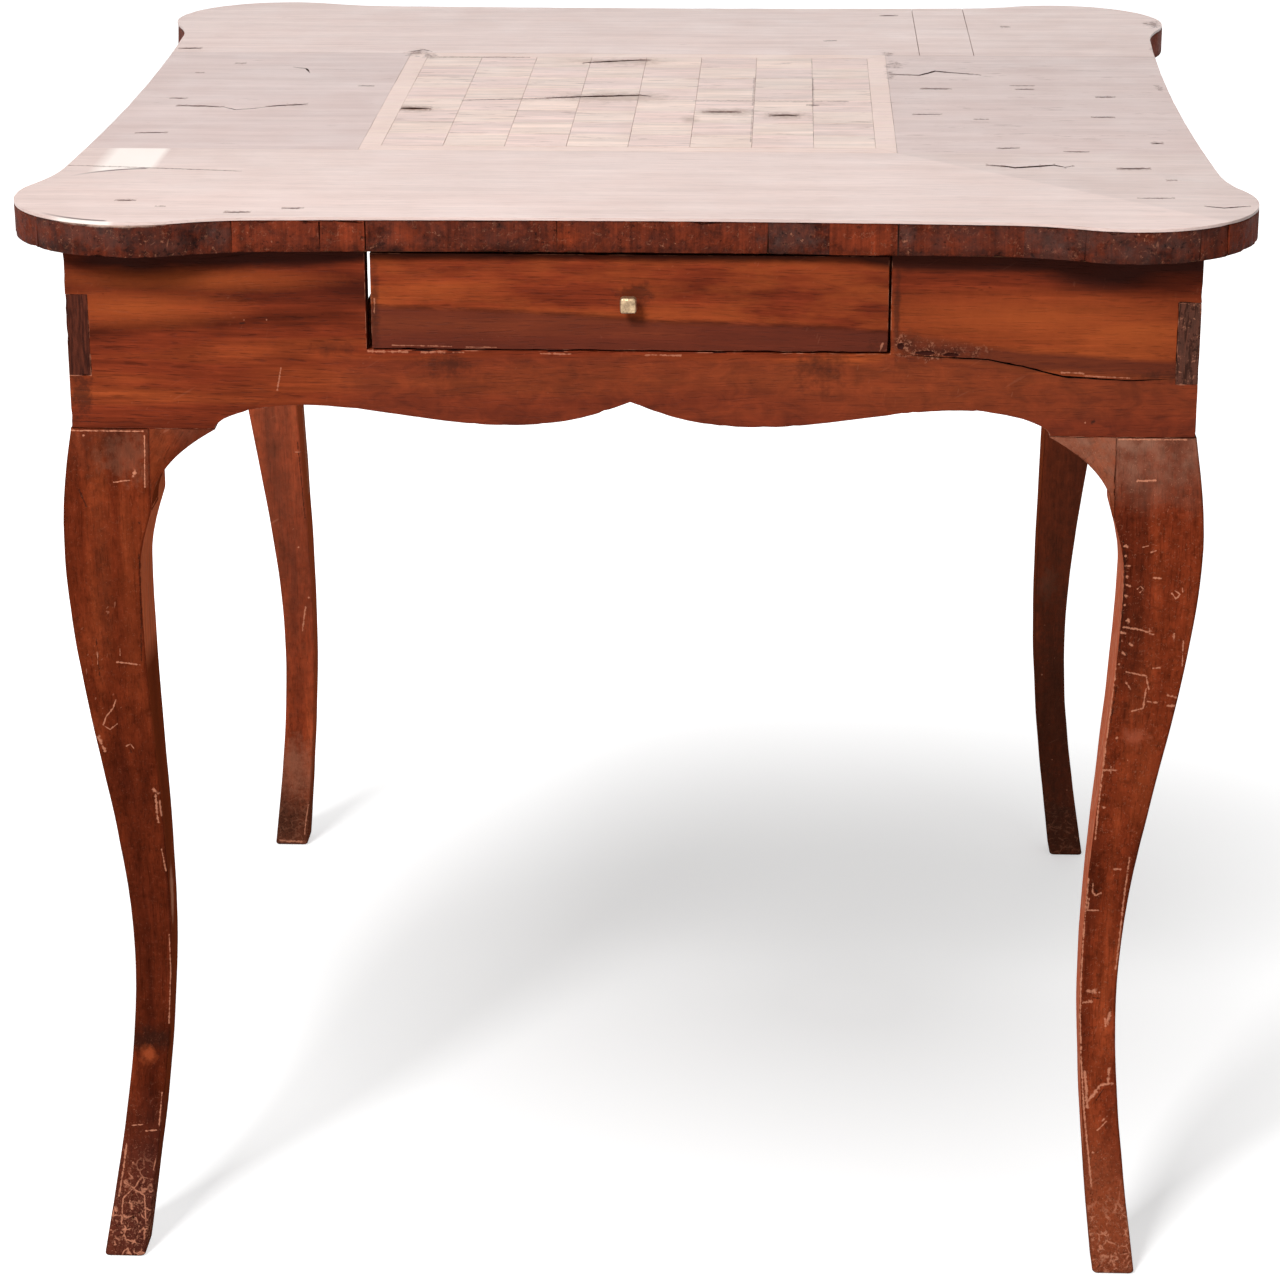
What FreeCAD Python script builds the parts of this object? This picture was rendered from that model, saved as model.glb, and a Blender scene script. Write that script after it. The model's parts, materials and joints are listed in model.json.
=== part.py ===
"""Games table with an inlaid chessboard, one drawer and four sawn cabriole legs.

Millimetres, +Z up.  The origin is on the floor under the middle of the top, the
drawer opens towards -Y.  Every driving size is a named cell of the sheet "sizes".
"""
import FreeCAD, Part
import math
import os
import re
from types import SimpleNamespace

from FreeCAD import Vector

SIZES = (
    # the top
    ("table_height", 780, "floor to playing surface"),
    ("top_width", 841, "across the corner lobes, left to right"),
    ("top_depth", 871, "across the corner lobes, front to back"),
    ("veneer_thickness", 2, "sawn veneer and board squares"),
    ("core_thickness", 22, "boards under the veneer"),
    ("banding_thickness", 3, "cross-grain strip round the edge"),
    ("glue_line", 0.15, "between the banding and the boards behind it"),
    ("lobe_radius", 88, "rounded corner of the top"),
    ("recess_radius", 150, "hollow beside each lobe"),
    ("waist_depth", 23.5, "middle of a side, in from the lobes"),
    ("waist_radius", 5600, "long shallow hollow of each side"),
    ("middle_board_width", 280, "middle one of the three core boards"),
    # the inlaid board
    ("square_side", 44.5, "one square of the board"),
    ("board_border", 15, "mitred strip round the squares"),
    ("board_shift_x", -11, "board centre from the table centre"),
    ("board_shift_y", -3, "board centre from the table centre"),
    ("back_joint_near", 210, "first butt joint in the back veneer"),
    ("back_joint_far", 254, "second butt joint in the back veneer"),
    # the apron frame
    ("side_overhang", 41, "top lobes past the left and right aprons"),
    ("end_overhang", 31.5, "top lobes past the front and back aprons"),
    ("apron_height", 125.5, "at the corners"),
    ("end_apron_thickness", 18, "front and back aprons"),
    ("side_apron_thickness", 15, "left and right aprons"),
    ("finger_rise", 37, "apron bottom to underside of the finger"),
    ("finger_height", 56, "single finger at each corner"),
    ("scallop_peak_rise", 17.5, "outer hollow of the lower edge"),
    ("scallop_peak_run", 60, "from bracket tip to outer hollow"),
    ("scallop_dip_rise", 4.5, "low point of the lower edge"),
    ("scallop_dip_out", 85, "low point from the apron centre"),
    ("scallop_cusp_rise", 21.5, "point at the apron centre"),
    # the legs, measured inwards from the outer planes of the aprons
    ("seam_inset", 53, "inner face of the leg head"),
    ("shoulder_proud", 1, "leg outside the apron at the seam"),
    ("knee_proud", 8.5, "leg outside the apron at the knee"),
    ("knee_drop", 75, "apron bottom to knee"),
    ("ankle_inset", 26, "outer line at the ankle"),
    ("ankle_height", 218, "floor to ankle"),
    ("toe_inset_x", 3, "outer line at the floor, seen from the front"),
    ("toe_proud_y", 6, "outer line at the floor, seen from the side"),
    ("calf_inset", 44, "inner line under the knee"),
    ("calf_drop", 100, "apron bottom to that place"),
    ("shin_inset", 53.5, "inner line above the ankle"),
    ("shin_height", 247, "floor to that place"),
    ("foot_width", 30, "square foot on the floor"),
    ("front_drift", -12, "front feet stand to the left of the frame"),
    ("back_drift", 8, "back feet stand to the right of the frame"),
    # the knee brackets
    ("bracket_reach", 44.5, "from the leg head along the apron"),
    ("bracket_drop", 56, "from the apron down the leg"),
    ("bracket_thickness", 20, "front to back"),
    # the drawer opening and what carries the drawer
    ("opening_width", 351, "cut-out in the front apron"),
    ("opening_shift", -1.6, "cut-out centre from the table centre"),
    ("opening_height", 69, "cut-out, open at the top"),
    ("runner_width", 34, "strip under the drawer side"),
    ("runner_height", 20, "strip under the drawer side"),
    ("runner_overhang", 15, "runner outside the opening"),
    ("guide_height", 14, "strip on the runner beside the drawer"),
    ("guide_setback", 150, "guide starts this far behind the front apron"),
    ("stop_length", 24, "block that the closed drawer meets"),
    ("stop_height", 14, "block that the closed drawer meets"),
    ("block_side", 20, "glue block, square section"),
    ("block_length", 60, "glue block along the apron"),
    ("block_out", 260, "glue block centre from the middle of an apron"),
    # the drawer
    ("gap_left", 3.5, "drawer front to opening"),
    ("gap_right", 1.7, "drawer front to opening"),
    ("gap_below", 1, "drawer front to opening"),
    ("gap_above", 2.5, "drawer to the underside of the top"),
    ("running_clearance", 0.3, "drawer side to runner, drawer to stop"),
    ("drawer_front_thickness", 18, "front to back"),
    ("drawer_lap", 8, "side let into the back of the front"),
    ("drawer_depth", 360, "drawer side, front to back"),
    ("drawer_side_thickness", 12, "left to right"),
    ("drawer_back_thickness", 10, "front to back"),
    ("drawer_bottom_thickness", 6, "up and down"),
    ("groove_depth", 4, "groove that holds the drawer bottom"),
    ("groove_rise", 7, "side's lower edge to groove"),
    # the knob
    ("knob_side", 11, "square brass head"),
    ("knob_length", 8, "head, front to back"),
    ("knob_chamfer", 1.8, "bevel round the head"),
    ("neck_radius", 3.2, "between head and drawer front"),
    ("neck_length", 5, "between head and drawer front"),
    ("stem_radius", 2, "through the drawer front"),
    ("stem_clearance", 0.1, "hole round the stem"),
    ("stem_spare", 1, "stem showing behind the nut"),
    ("nut_side", 10, "square nut inside the drawer"),
    ("nut_thickness", 3, "square nut inside the drawer"),
)

SQUARES = 8

# joints between the short lengths of banding, as shares of a side from its left end
FRONT_JOINTS = (0.104, 0.187, 0.256, 0.292, 0.443, 0.609, 0.657, 0.711, 0.809, 0.856, 0.945)
OTHER_JOINTS = (0.09, 0.165, 0.26, 0.345, 0.42, 0.515, 0.59, 0.68, 0.765, 0.84, 0.92)

doc = FreeCAD.newDocument("chess_table")
sheet = doc.addObject("Spreadsheet::Sheet", "sizes")
for row, (alias, number, note) in enumerate(SIZES, start=1):
    sheet.set("A%d" % row, alias)
    sheet.set("B%d" % row, str(number))
    sheet.set("C%d" % row, note)
    sheet.setAlias("B%d" % row, alias)
doc.recompute()
size = SimpleNamespace(**{alias: float(sheet.get(alias)) for alias, _, _ in SIZES})

# widths, heights and planes that several pieces share, as formulas over the sheet
PLACES = {
    "apron_width": "top_width - 2 * side_overhang",
    "apron_depth": "top_depth - 2 * end_overhang",
    "veneer_bottom": "table_height - veneer_thickness",
    "core_bottom": "veneer_bottom - core_thickness",
    "apron_bottom": "core_bottom - apron_height",
    "left_face": "0 - apron_width / 2",
    "right_face": "apron_width / 2",
    "front_face": "0 - apron_depth / 2",
    "inner_front": "end_apron_thickness - apron_depth / 2",
    "inner_back": "apron_depth / 2 - end_apron_thickness",
    "frame_length": "apron_depth - 2 * end_apron_thickness",
    "board_half": "%d * square_side / 2 + board_border" % SQUARES,
    "board_left": "board_shift_x - board_half",
    "board_right": "board_shift_x + board_half",
    "board_front": "board_shift_y - board_half",
    "board_back": "board_shift_y + board_half",
    "top_left": "0 - top_width / 2",
    "top_right": "top_width / 2",
    "top_front": "0 - top_depth / 2",
    "top_back": "top_depth / 2",
    "opening_left": "opening_shift - opening_width / 2",
    "opening_right": "opening_shift + opening_width / 2",
    "rail_top": "core_bottom - opening_height",
    "drawer_left": "opening_left + gap_left",
    "drawer_right": "opening_right - gap_right",
    "drawer_width": "opening_width - gap_left - gap_right",
    "drawer_floor": "rail_top + running_clearance",
    "drawer_top": "core_bottom - gap_above",
    "front_back": "front_face + drawer_front_thickness",
    "side_start": "front_back - drawer_lap",
    "side_end": "side_start + drawer_depth",
    "groove_floor": "drawer_floor + groove_rise",
    "knob_x": "drawer_left + drawer_width / 2",
    "knob_z": "rail_top + opening_height / 2",
}

# the few of them that the curved outlines need as numbers
apron_half_width = size.top_width / 2 - size.side_overhang
apron_half_depth = size.top_depth / 2 - size.end_overhang
core_bottom = size.table_height - size.veneer_thickness - size.core_thickness
apron_bottom = core_bottom - size.apron_height

pieces = []


# ---------------------------------------------------------------- helpers

def formula(text):
    """Write out every shared place and put the sheet's name before every size."""

    def written_out(word):
        name = word.group(0)
        return "(%s)" % formula(PLACES[name]) if name in PLACES else "sizes." + name

    return re.sub(r"[a-z_]+", written_out, text)


def keep(thing, label):
    """Name a finished sub-part; its label is also its file's name."""
    thing.Label = label
    pieces.append(thing)
    return thing


def set_place(thing, place):
    for axis, text in zip("xyz", place):
        thing.setExpression("Placement.Base." + axis, formula(text))


def block(name, lengths, corner):
    """A rectangular solid: its lengths along X, Y, Z and its lowest corner are formulas."""
    thing = doc.addObject("Part::Box", name)
    for side, text in zip(("Length", "Width", "Height"), lengths):
        thing.setExpression(side, formula(text))
    set_place(thing, corner)
    return thing


def rod(name, radius, length, start):
    """A round bar along +Y from the place start."""
    thing = doc.addObject("Part::Cylinder", name)
    thing.Placement.Rotation = FreeCAD.Rotation(Vector(1, 0, 0), -90)
    thing.setExpression("Radius", formula(radius))
    thing.setExpression("Height", formula(length))
    set_place(thing, start)
    return thing


def cut(name, base, tool):
    thing = doc.addObject("Part::Cut", name)
    thing.Base = base
    thing.Tool = tool
    return thing


def fuse(name, solids):
    thing = doc.addObject("Part::MultiFuse", name)
    thing.Shapes = solids
    thing.Refine = True
    return thing


def common(name, solids):
    thing = doc.addObject("Part::MultiCommon", name)
    thing.Shapes = solids
    return thing


def group(name, solids):
    thing = doc.addObject("Part::Compound", name)
    thing.Links = solids
    return thing


def face_of(name, edges):
    """A flat face inside a closed run of edges."""
    thing = doc.addObject("Part::Feature", name)
    thing.Shape = Part.Face(Part.Wire(Part.__sortEdges__(edges)))
    return thing


def extrude(name, face, direction, length):
    thing = doc.addObject("Part::Extrusion", name)
    thing.Base = face
    thing.DirMode = "Custom"
    thing.Dir = direction
    thing.Solid = True
    thing.setExpression("LengthFwd", formula(length))
    return thing


def line(start, end):
    return Part.makeLine(start, end)


def chain(points):
    """Straight edges from each point to the next."""
    return [line(start, end) for start, end in zip(points, points[1:])]


def bezier(*poles):
    curve = Part.BezierCurve()
    curve.setPoles(list(poles))
    return curve.toShape()


def arc(centre, radius, start, end):
    """The shorter arc about a centre from one point to another, in the XY plane."""
    middle = (start + end) * 0.5 - centre
    middle.normalize()
    return Part.Arc(start, centre + middle * radius, end).toShape()


# ---------------------------------------------------------------- the top

def quarter_outline(inset):
    """One corner of the top: half a side, a lobe and half of the next side.

    Each side is a long shallow hollow, a tighter hollow and the convex lobe,
    all tangent; an inset outline keeps the same centres."""
    half_width = size.top_width / 2
    half_depth = size.top_depth / 2
    lobe = Vector(half_width - size.lobe_radius, half_depth - size.lobe_radius, 0)
    lobe_radius = size.lobe_radius - inset
    recess_radius = size.recess_radius + inset
    waist_radius = size.waist_radius + inset

    def side(to_lobe, half_side, swap):
        """Edges from the middle of a side to its lobe, in that side's own axes."""
        waist = Vector(0, half_side - size.waist_depth + size.waist_radius, 0)
        reach = size.lobe_radius + size.recess_radius
        slack = size.waist_radius - size.recess_radius
        line_between = to_lobe - waist
        distance = line_between.Length
        along = (slack ** 2 - reach ** 2 + distance ** 2) / (2 * distance)
        across = math.sqrt(slack ** 2 - along ** 2)
        line_between.normalize()
        normal = Vector(line_between.y, -line_between.x, 0)
        recess = waist + line_between * along + normal * across
        middle = waist - Vector(0, waist_radius, 0)
        meets_waist = waist + (recess - waist).normalize() * waist_radius
        meets_lobe = to_lobe + (recess - to_lobe).normalize() * lobe_radius
        crown = to_lobe + Vector(0, lobe_radius, 0)
        places = [waist, recess, to_lobe, middle, meets_waist, meets_lobe, crown]
        if swap:
            places = [Vector(place.y, place.x, 0) for place in places]
        waist, recess, to_lobe, middle, meets_waist, meets_lobe, crown = places
        return [
            arc(waist, waist_radius, middle, meets_waist),
            arc(recess, recess_radius, meets_waist, meets_lobe),
            arc(to_lobe, lobe_radius, meets_lobe, crown),
        ], crown

    long_edges, upper = side(lobe, half_depth, False)
    cross_edges, outer = side(Vector(lobe.y, lobe.x, 0), half_width, True)
    return long_edges + cross_edges + [arc(lobe, lobe_radius, upper, outer)]


def top_outline(name, inset, height):
    """The whole outline of the top, moved in by the inset, as a face at a height."""
    quarter = Part.Compound(quarter_outline(inset))
    half = Part.Compound([quarter, quarter.mirror(Vector(), Vector(1, 0, 0))])
    whole = Part.Compound([half, half.mirror(Vector(), Vector(0, 1, 0))])
    whole.translate(Vector(0, 0, height))
    return face_of(name, whole.Edges)


def core_boards():
    """Three boards glued edge to edge, the grain along X."""
    outline = top_outline("core_outline", size.banding_thickness + size.glue_line, core_bottom)
    strips = (
        ("top_board_front", "top_front", "(top_depth - middle_board_width) / 2"),
        ("top_board_middle", "0 - middle_board_width / 2", "middle_board_width"),
        ("top_board_back", "middle_board_width / 2", "(top_depth - middle_board_width) / 2"),
    )
    for label, start, width in strips:
        slab = extrude(label + "_slab", outline, Vector(0, 0, 1), "core_thickness")
        strip = block(label + "_strip", ("top_width", width, "core_thickness"),
                      ("top_left", start, "core_bottom"))
        keep(common(label + "_cut", [slab, strip]), label)


def edge_banding():
    """Short cross-grain lengths round the edge, mitred at the middle of each lobe."""
    outer = top_outline("banding_outside", 0, core_bottom).Shape
    inner = top_outline("banding_inside", size.banding_thickness, core_bottom).Shape
    ring = outer.cut(inner).extrude(Vector(0, 0, size.core_thickness))
    lobe = Vector(size.top_width / 2 - size.lobe_radius, size.top_depth / 2 - size.lobe_radius, 0)
    turned_lobe = Vector(lobe.y, lobe.x, 0)
    reach = size.top_width + size.top_depth
    sides = (
        ("edge_banding_front", 0, lobe, size.top_width, FRONT_JOINTS),
        ("edge_banding_right", 90, turned_lobe, size.top_depth, OTHER_JOINTS),
        ("edge_banding_back", 180, lobe, size.top_width, OTHER_JOINTS),
        ("edge_banding_left", 270, turned_lobe, size.top_depth, OTHER_JOINTS),
    )
    for label, turn, corner, side_length, joints in sides:
        ends = [Vector(-corner.x, -corner.y, 0), Vector(corner.x, -corner.y, 0)]
        far = [ends[1] + Vector(reach, -reach, 0), ends[0] - Vector(reach, reach, 0)]
        region = Part.Face(Part.makePolygon(ends + far + ends[:1]))
        places = [(share - 0.5) * side_length for share in (0,) + joints + (1,)]
        lengths = []
        for start, end in zip(places, places[1:]):
            strip = Part.makePlane(end - start, reach, Vector(start, -reach, 0))
            cell = region.common(strip).extrude(Vector(0, 0, size.core_thickness))
            cell.translate(Vector(0, 0, core_bottom))
            cell.rotate(Vector(), Vector(0, 0, 1), turn)
            lengths += ring.common(cell).Solids
        thing = doc.addObject("Part::Feature", label)
        thing.Shape = Part.Compound(lengths)
        keep(thing, label)


def veneers():
    """Four fields of sawn veneer round the board; the back one is in three lengths."""
    outline = top_outline("veneer_outline", 0, size.table_height - size.veneer_thickness)
    near = "back_joint_near"
    far = "back_joint_far"
    fields = (
        ("veneer_front_strip", (("top_left", "top_right", "top_front", "board_front"),)),
        ("veneer_back_strip", (("top_left", near, "board_back", "top_back"),
                               (near, far, "board_back", "top_back"),
                               (far, "top_right", "board_back", "top_back"))),
        ("veneer_left_panel", (("top_left", "board_left", "board_front", "board_back"),)),
        ("veneer_right_panel", (("board_right", "top_right", "board_front", "board_back"),)),
    )
    for label, rectangles in fields:
        sheets = []
        for number, (left, right, front, back) in enumerate(rectangles, start=1):
            name = "%s_%d" % (label, number)
            leaf = extrude(name + "_leaf", outline, Vector(0, 0, 1), "veneer_thickness")
            lengths = ("%s - %s" % (right, left), "%s - %s" % (back, front), "veneer_thickness")
            area = block(name + "_area", lengths, (left, front, "veneer_bottom"))
            sheets.append(common(name + "_sheet", [leaf, area]))
        keep(sheets[0] if len(sheets) == 1 else group(label + "_set", sheets), label)


def board_squares():
    """The squares of the board: the near right-hand corner square is a pale one."""
    tones = {"board_squares_pale": [], "board_squares_dark": []}
    lengths = ("square_side", "square_side", "veneer_thickness")
    for column in range(SQUARES):
        for line_number in range(SQUARES):
            pale = (column + line_number) % 2 == 1
            label = "board_squares_pale" if pale else "board_squares_dark"
            corner = (
                "board_shift_x + (%d) * square_side" % (column - SQUARES // 2),
                "board_shift_y + (%d) * square_side" % (line_number - SQUARES // 2),
                "veneer_bottom",
            )
            square = block("square_%d_%d" % (column + 1, line_number + 1), lengths, corner)
            tones[label].append(square)
    for label, squares in tones.items():
        keep(group(label + "_set", squares), label)


def board_borders():
    """Four mitred strips round the squares."""
    inner = SQUARES * size.square_side / 2
    outer = inner + size.board_border
    centre = Vector(size.board_shift_x, size.board_shift_y, size.table_height - size.veneer_thickness)
    for number, side in enumerate(("front", "right", "back", "left")):
        corners = [Vector(-outer, -outer, 0), Vector(outer, -outer, 0),
                   Vector(inner, -inner, 0), Vector(-inner, -inner, 0), Vector(-outer, -outer, 0)]
        turn = FreeCAD.Placement(centre, FreeCAD.Rotation(Vector(0, 0, 1), 90 * number))
        edges = chain([turn.multVec(corner) for corner in corners])
        strip = face_of("border_%s_face" % side, edges)
        thing = extrude("border_" + side, strip, Vector(0, 0, 1), "veneer_thickness")
        keep(thing, "board_border_" + side)


# ---------------------------------------------------------------- the apron frame

def scalloped_face(name, half_length, turn):
    """Upright face of an apron with its shaped lower edge, drawn in XZ about the middle.

    From the bracket tip the edge rises to a hollow, falls to a low point and
    rises again to a cusp in the middle."""
    tip = half_length - size.seam_inset - size.bracket_reach
    peak_x = tip - size.scallop_peak_run
    dip_x = size.scallop_dip_out
    peak = apron_bottom + size.scallop_peak_rise
    dip = apron_bottom + size.scallop_dip_rise
    cusp = apron_bottom + size.scallop_cusp_rise
    wave = (peak_x - dip_x) / 3
    half = [
        line(Vector(half_length, 0, core_bottom), Vector(half_length, 0, apron_bottom)),
        line(Vector(half_length, 0, apron_bottom), Vector(tip, 0, apron_bottom)),
        bezier(Vector(tip, 0, apron_bottom), Vector(tip, 0, (apron_bottom + peak) / 2),
               Vector((tip + peak_x) / 2, 0, peak), Vector(peak_x, 0, peak)),
        bezier(Vector(peak_x, 0, peak), Vector(peak_x - wave, 0, peak),
               Vector(dip_x + wave, 0, dip), Vector(dip_x, 0, dip)),
        bezier(Vector(dip_x, 0, dip), Vector(dip_x / 2, 0, dip),
               Vector(dip_x / 4, 0, (dip + cusp) / 2), Vector(0, 0, cusp)),
    ]
    whole = half + [edge.mirror(Vector(), Vector(1, 0, 0)) for edge in half]
    whole.append(line(Vector(half_length, 0, core_bottom), Vector(-half_length, 0, core_bottom)))
    thing = face_of(name, whole)
    thing.Placement = FreeCAD.Placement(Vector(), FreeCAD.Rotation(Vector(0, 0, 1), turn))
    return thing


def finger_slots(name, start):
    """Two blocks where the side aprons' fingers pass through an end apron."""
    finger = ("side_apron_thickness", "end_apron_thickness", "finger_height")
    height = "apron_bottom + finger_rise"
    left = block(name + "_left", finger, ("left_face", start, height))
    right = block(name + "_right", finger, ("right_face - side_apron_thickness", start, height))
    return left, right


def end_aprons():
    """Front and back aprons, full width, slotted at both ends; the front one holds the drawer."""
    for label, start in (("front_apron", "front_face"), ("back_apron", "inner_back")):
        face = scalloped_face(label + "_face", apron_half_width, 0)
        face.setExpression("Placement.Base.y", formula(start))
        blank = extrude(label + "_blank", face, Vector(0, 1, 0), "end_apron_thickness")
        for slot in finger_slots(label + "_slot", start):
            blank = cut(slot.Name + "_cut", blank, slot)
        if label == "front_apron":
            lengths = ("opening_width", "end_apron_thickness", "opening_height")
            opening = block("drawer_opening", lengths, ("opening_left", start, "rail_top"))
            blank = cut("front_apron_opened", blank, opening)
        keep(blank, label)


def side_aprons():
    """Left and right aprons between the end ones, each with a finger through them."""
    for label, start, slot in (("left_apron", "left_face", 0),
                               ("right_apron", "right_face - side_apron_thickness", 1)):
        face = scalloped_face(label + "_face", apron_half_depth, 90)
        face.setExpression("Placement.Base.x", formula(start))
        blank = extrude(label + "_blank", face, Vector(1, 0, 0), "side_apron_thickness")
        between = block(label + "_between", ("side_apron_thickness", "frame_length", "apron_height"),
                        (start, "inner_front", "apron_bottom"))
        fingers = [finger_slots(label + "_finger_front", "front_face")[slot],
                   finger_slots(label + "_finger_back", "inner_back")[slot]]
        trimmed = common(label + "_trimmed", [blank, between])
        keep(fuse(label + "_fused", [trimmed] + fingers), label)


def glue_blocks():
    """Blocks in the angle between the aprons and the top."""
    near = "0 - block_out - block_length / 2"
    far = "block_out - block_length / 2"
    height = "core_bottom - block_side"
    left = "left_face + side_apron_thickness"
    right = "right_face - side_apron_thickness - block_side"
    along_x = ("block_length", "block_side", "block_side")
    along_y = ("block_side", "block_length", "block_side")
    blocks = []
    for place in (near, far):
        blocks.append(block("glue_block_front", along_x, (place, "inner_front", height)))
        blocks.append(block("glue_block_back", along_x, (place, "inner_back - block_side", height)))
        blocks.append(block("glue_block_left", along_y, (left, place, height)))
        blocks.append(block("glue_block_right", along_y, (right, place, height)))
    keep(group("glue_block_set", blocks), "glue_blocks")


# ---------------------------------------------------------------- legs and brackets

def leg_face(name, toe_out, drift, place):
    """Profile of a leg in one view.

    Distances are outwards from the apron's plane; place turns (out, height) into a
    point.  The feet drift sideways from the knee down to the floor."""
    knee = apron_bottom - size.knee_drop
    calf = apron_bottom - size.calf_drop
    seam_end = apron_bottom - size.bracket_drop

    def at(out, height):
        shift = drift * max(0, 1 - height / knee)
        return place(out + shift, height)

    def bend(start, end):
        """A curve that is upright at both ends."""
        (start_out, start_height), (end_out, end_height) = start, end
        third = (start_height - end_height) / 3
        return bezier(at(start_out, start_height), at(start_out, start_height - third),
                      at(end_out, end_height + third), at(end_out, end_height))

    rise = size.ankle_height / 3
    flare = (size.ankle_inset + toe_out) / 2
    toe_inner = toe_out - size.foot_width
    inner_rise = size.shin_height / 3
    inner_flare = (size.shin_inset + toe_inner) / 2
    edges = [
        bezier(at(size.shoulder_proud, apron_bottom),
               at((size.shoulder_proud + size.knee_proud) / 2, apron_bottom - size.knee_drop / 3),
               at(size.knee_proud, knee + size.knee_drop / 3), at(size.knee_proud, knee)),
        bend((size.knee_proud, knee), (-size.ankle_inset, size.ankle_height)),
        bezier(at(-size.ankle_inset, size.ankle_height), at(-size.ankle_inset, 2 * rise),
               at(toe_out - flare, rise), at(toe_out, 0)),
        line(at(toe_out, 0), at(toe_inner, 0)),
        bezier(at(toe_inner, 0), at(toe_inner - inner_flare, inner_rise),
               at(-size.shin_inset, 2 * inner_rise), at(-size.shin_inset, size.shin_height)),
        bend((-size.calf_inset, calf), (-size.shin_inset, size.shin_height)),
        bezier(at(-size.calf_inset, calf), at(-size.calf_inset, (2 * calf + seam_end) / 3),
               at(-(size.calf_inset + size.seam_inset) / 2, (calf + 2 * seam_end) / 3),
               at(-size.seam_inset, seam_end)),
        line(at(-size.seam_inset, seam_end), at(-size.seam_inset, apron_bottom)),
        line(at(-size.seam_inset, apron_bottom), at(size.shoulder_proud, apron_bottom)),
    ]
    return face_of(name, edges)


def corner_places(side_x, side_y):
    """Turn (out, height) into points of the front view and of the side view."""

    def front(out, height):
        return Vector(side_x * (apron_half_width + out), 0, height)

    def side(out, height):
        return Vector(0, side_y * (apron_half_depth + out), height)

    return front, side


def leg(label, side_x, side_y):
    """A leg sawn square to two profiles, with its post in the corner of the aprons."""
    front, side = corner_places(side_x, side_y)
    drift = size.back_drift if side_y > 0 else size.front_drift
    front_view = leg_face(label + "_front_view", -size.toe_inset_x, side_x * drift, front)
    side_view = leg_face(label + "_side_view", size.toe_proud_y, 0, side)
    front_blank = extrude(label + "_sawn_once", front_view, Vector(0, side_y, 0), "apron_depth")
    side_blank = extrude(label + "_sawn_again", side_view, Vector(side_x, 0, 0), "apron_width")
    shaped = common(label + "_shaped", [front_blank, side_blank])
    post_x = "seam_inset - side_apron_thickness"
    post_y = "seam_inset - end_apron_thickness"
    near_x = "right_face - seam_inset" if side_x > 0 else "left_face + side_apron_thickness"
    near_y = "apron_depth / 2 - seam_inset" if side_y > 0 else "inner_front"
    post = block(label + "_post", (post_x, post_y, "apron_height"), (near_x, near_y, "apron_bottom"))
    keep(fuse(label + "_whole", [shaped, post]), label)


def bracket_outline(name, place):
    """Outline of a knee bracket: straight on the apron and on the leg, hollow between."""
    seam = -size.seam_inset
    tip = seam - size.bracket_reach
    foot = apron_bottom - size.bracket_drop
    leaves_apron = place(tip + 0.45 * size.bracket_reach, apron_bottom - 0.2 * size.bracket_drop)
    meets_leg = place(seam, foot + 0.5 * size.bracket_drop)
    edges = [
        line(place(seam, apron_bottom), place(tip, apron_bottom)),
        bezier(place(tip, apron_bottom), leaves_apron, meets_leg, place(seam, foot)),
        line(place(seam, foot), place(seam, apron_bottom)),
    ]
    return face_of(name, edges)


def bracket_skin(name, place):
    """Thickness of a bracket; its outer face follows the knee of the leg."""
    knee = apron_bottom - size.knee_drop
    inner = -size.bracket_thickness
    edges = [
        bezier(place(size.shoulder_proud, apron_bottom),
               place((size.shoulder_proud + size.knee_proud) / 2, apron_bottom - size.knee_drop / 3),
               place(size.knee_proud, knee + size.knee_drop / 3), place(size.knee_proud, knee)),
        line(place(size.knee_proud, knee), place(inner, knee)),
        line(place(inner, knee), place(inner, apron_bottom)),
        line(place(inner, apron_bottom), place(size.shoulder_proud, apron_bottom)),
    ]
    return face_of(name, edges)


def brackets(corner, side_x, side_y):
    """Two brackets beside a leg, one under each apron."""
    front, side = corner_places(side_x, side_y)
    for apron, outline_place, skin_place, outline_way, skin_way in (
        ("end", front, side, Vector(0, side_y, 0), Vector(side_x, 0, 0)),
        ("side", side, front, Vector(side_x, 0, 0), Vector(0, side_y, 0)),
    ):
        label = "bracket_%s_%s" % (corner, apron)
        outline = bracket_outline(label + "_outline", outline_place)
        skin = bracket_skin(label + "_skin", skin_place)
        across = extrude(label + "_sawn", outline, outline_way, "apron_depth")
        along = extrude(label + "_faced", skin, skin_way, "apron_width")
        keep(common(label + "_common", [across, along]), label)


# ---------------------------------------------------------------- what carries the drawer

def drawer_carriers():
    """Runner, guide and stop on each side of the drawer."""
    stops = []
    for side in ("left", "right"):
        if side == "left":
            runner_x = "opening_left - runner_overhang"
            guide_x = runner_x
            stop_x = "drawer_left"
        else:
            runner_x = "opening_right + runner_overhang - runner_width"
            guide_x = "opening_right"
            stop_x = "drawer_right - drawer_side_thickness"
        runner = block("runner_" + side, ("runner_width", "frame_length", "runner_height"),
                       (runner_x, "inner_front", "rail_top - runner_height"))
        keep(runner, "drawer_runner_" + side)
        lengths = ("runner_overhang", "frame_length - guide_setback", "guide_height")
        guide = block("guide_" + side, lengths, (guide_x, "inner_front + guide_setback", "rail_top"))
        keep(guide, "drawer_guide_" + side)
        stops.append(block("stop_" + side, ("drawer_side_thickness", "stop_length", "stop_height"),
                           (stop_x, "side_end + running_clearance", "rail_top")))
    keep(group("stop_set", stops), "drawer_stops")


# ---------------------------------------------------------------- the drawer

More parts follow.
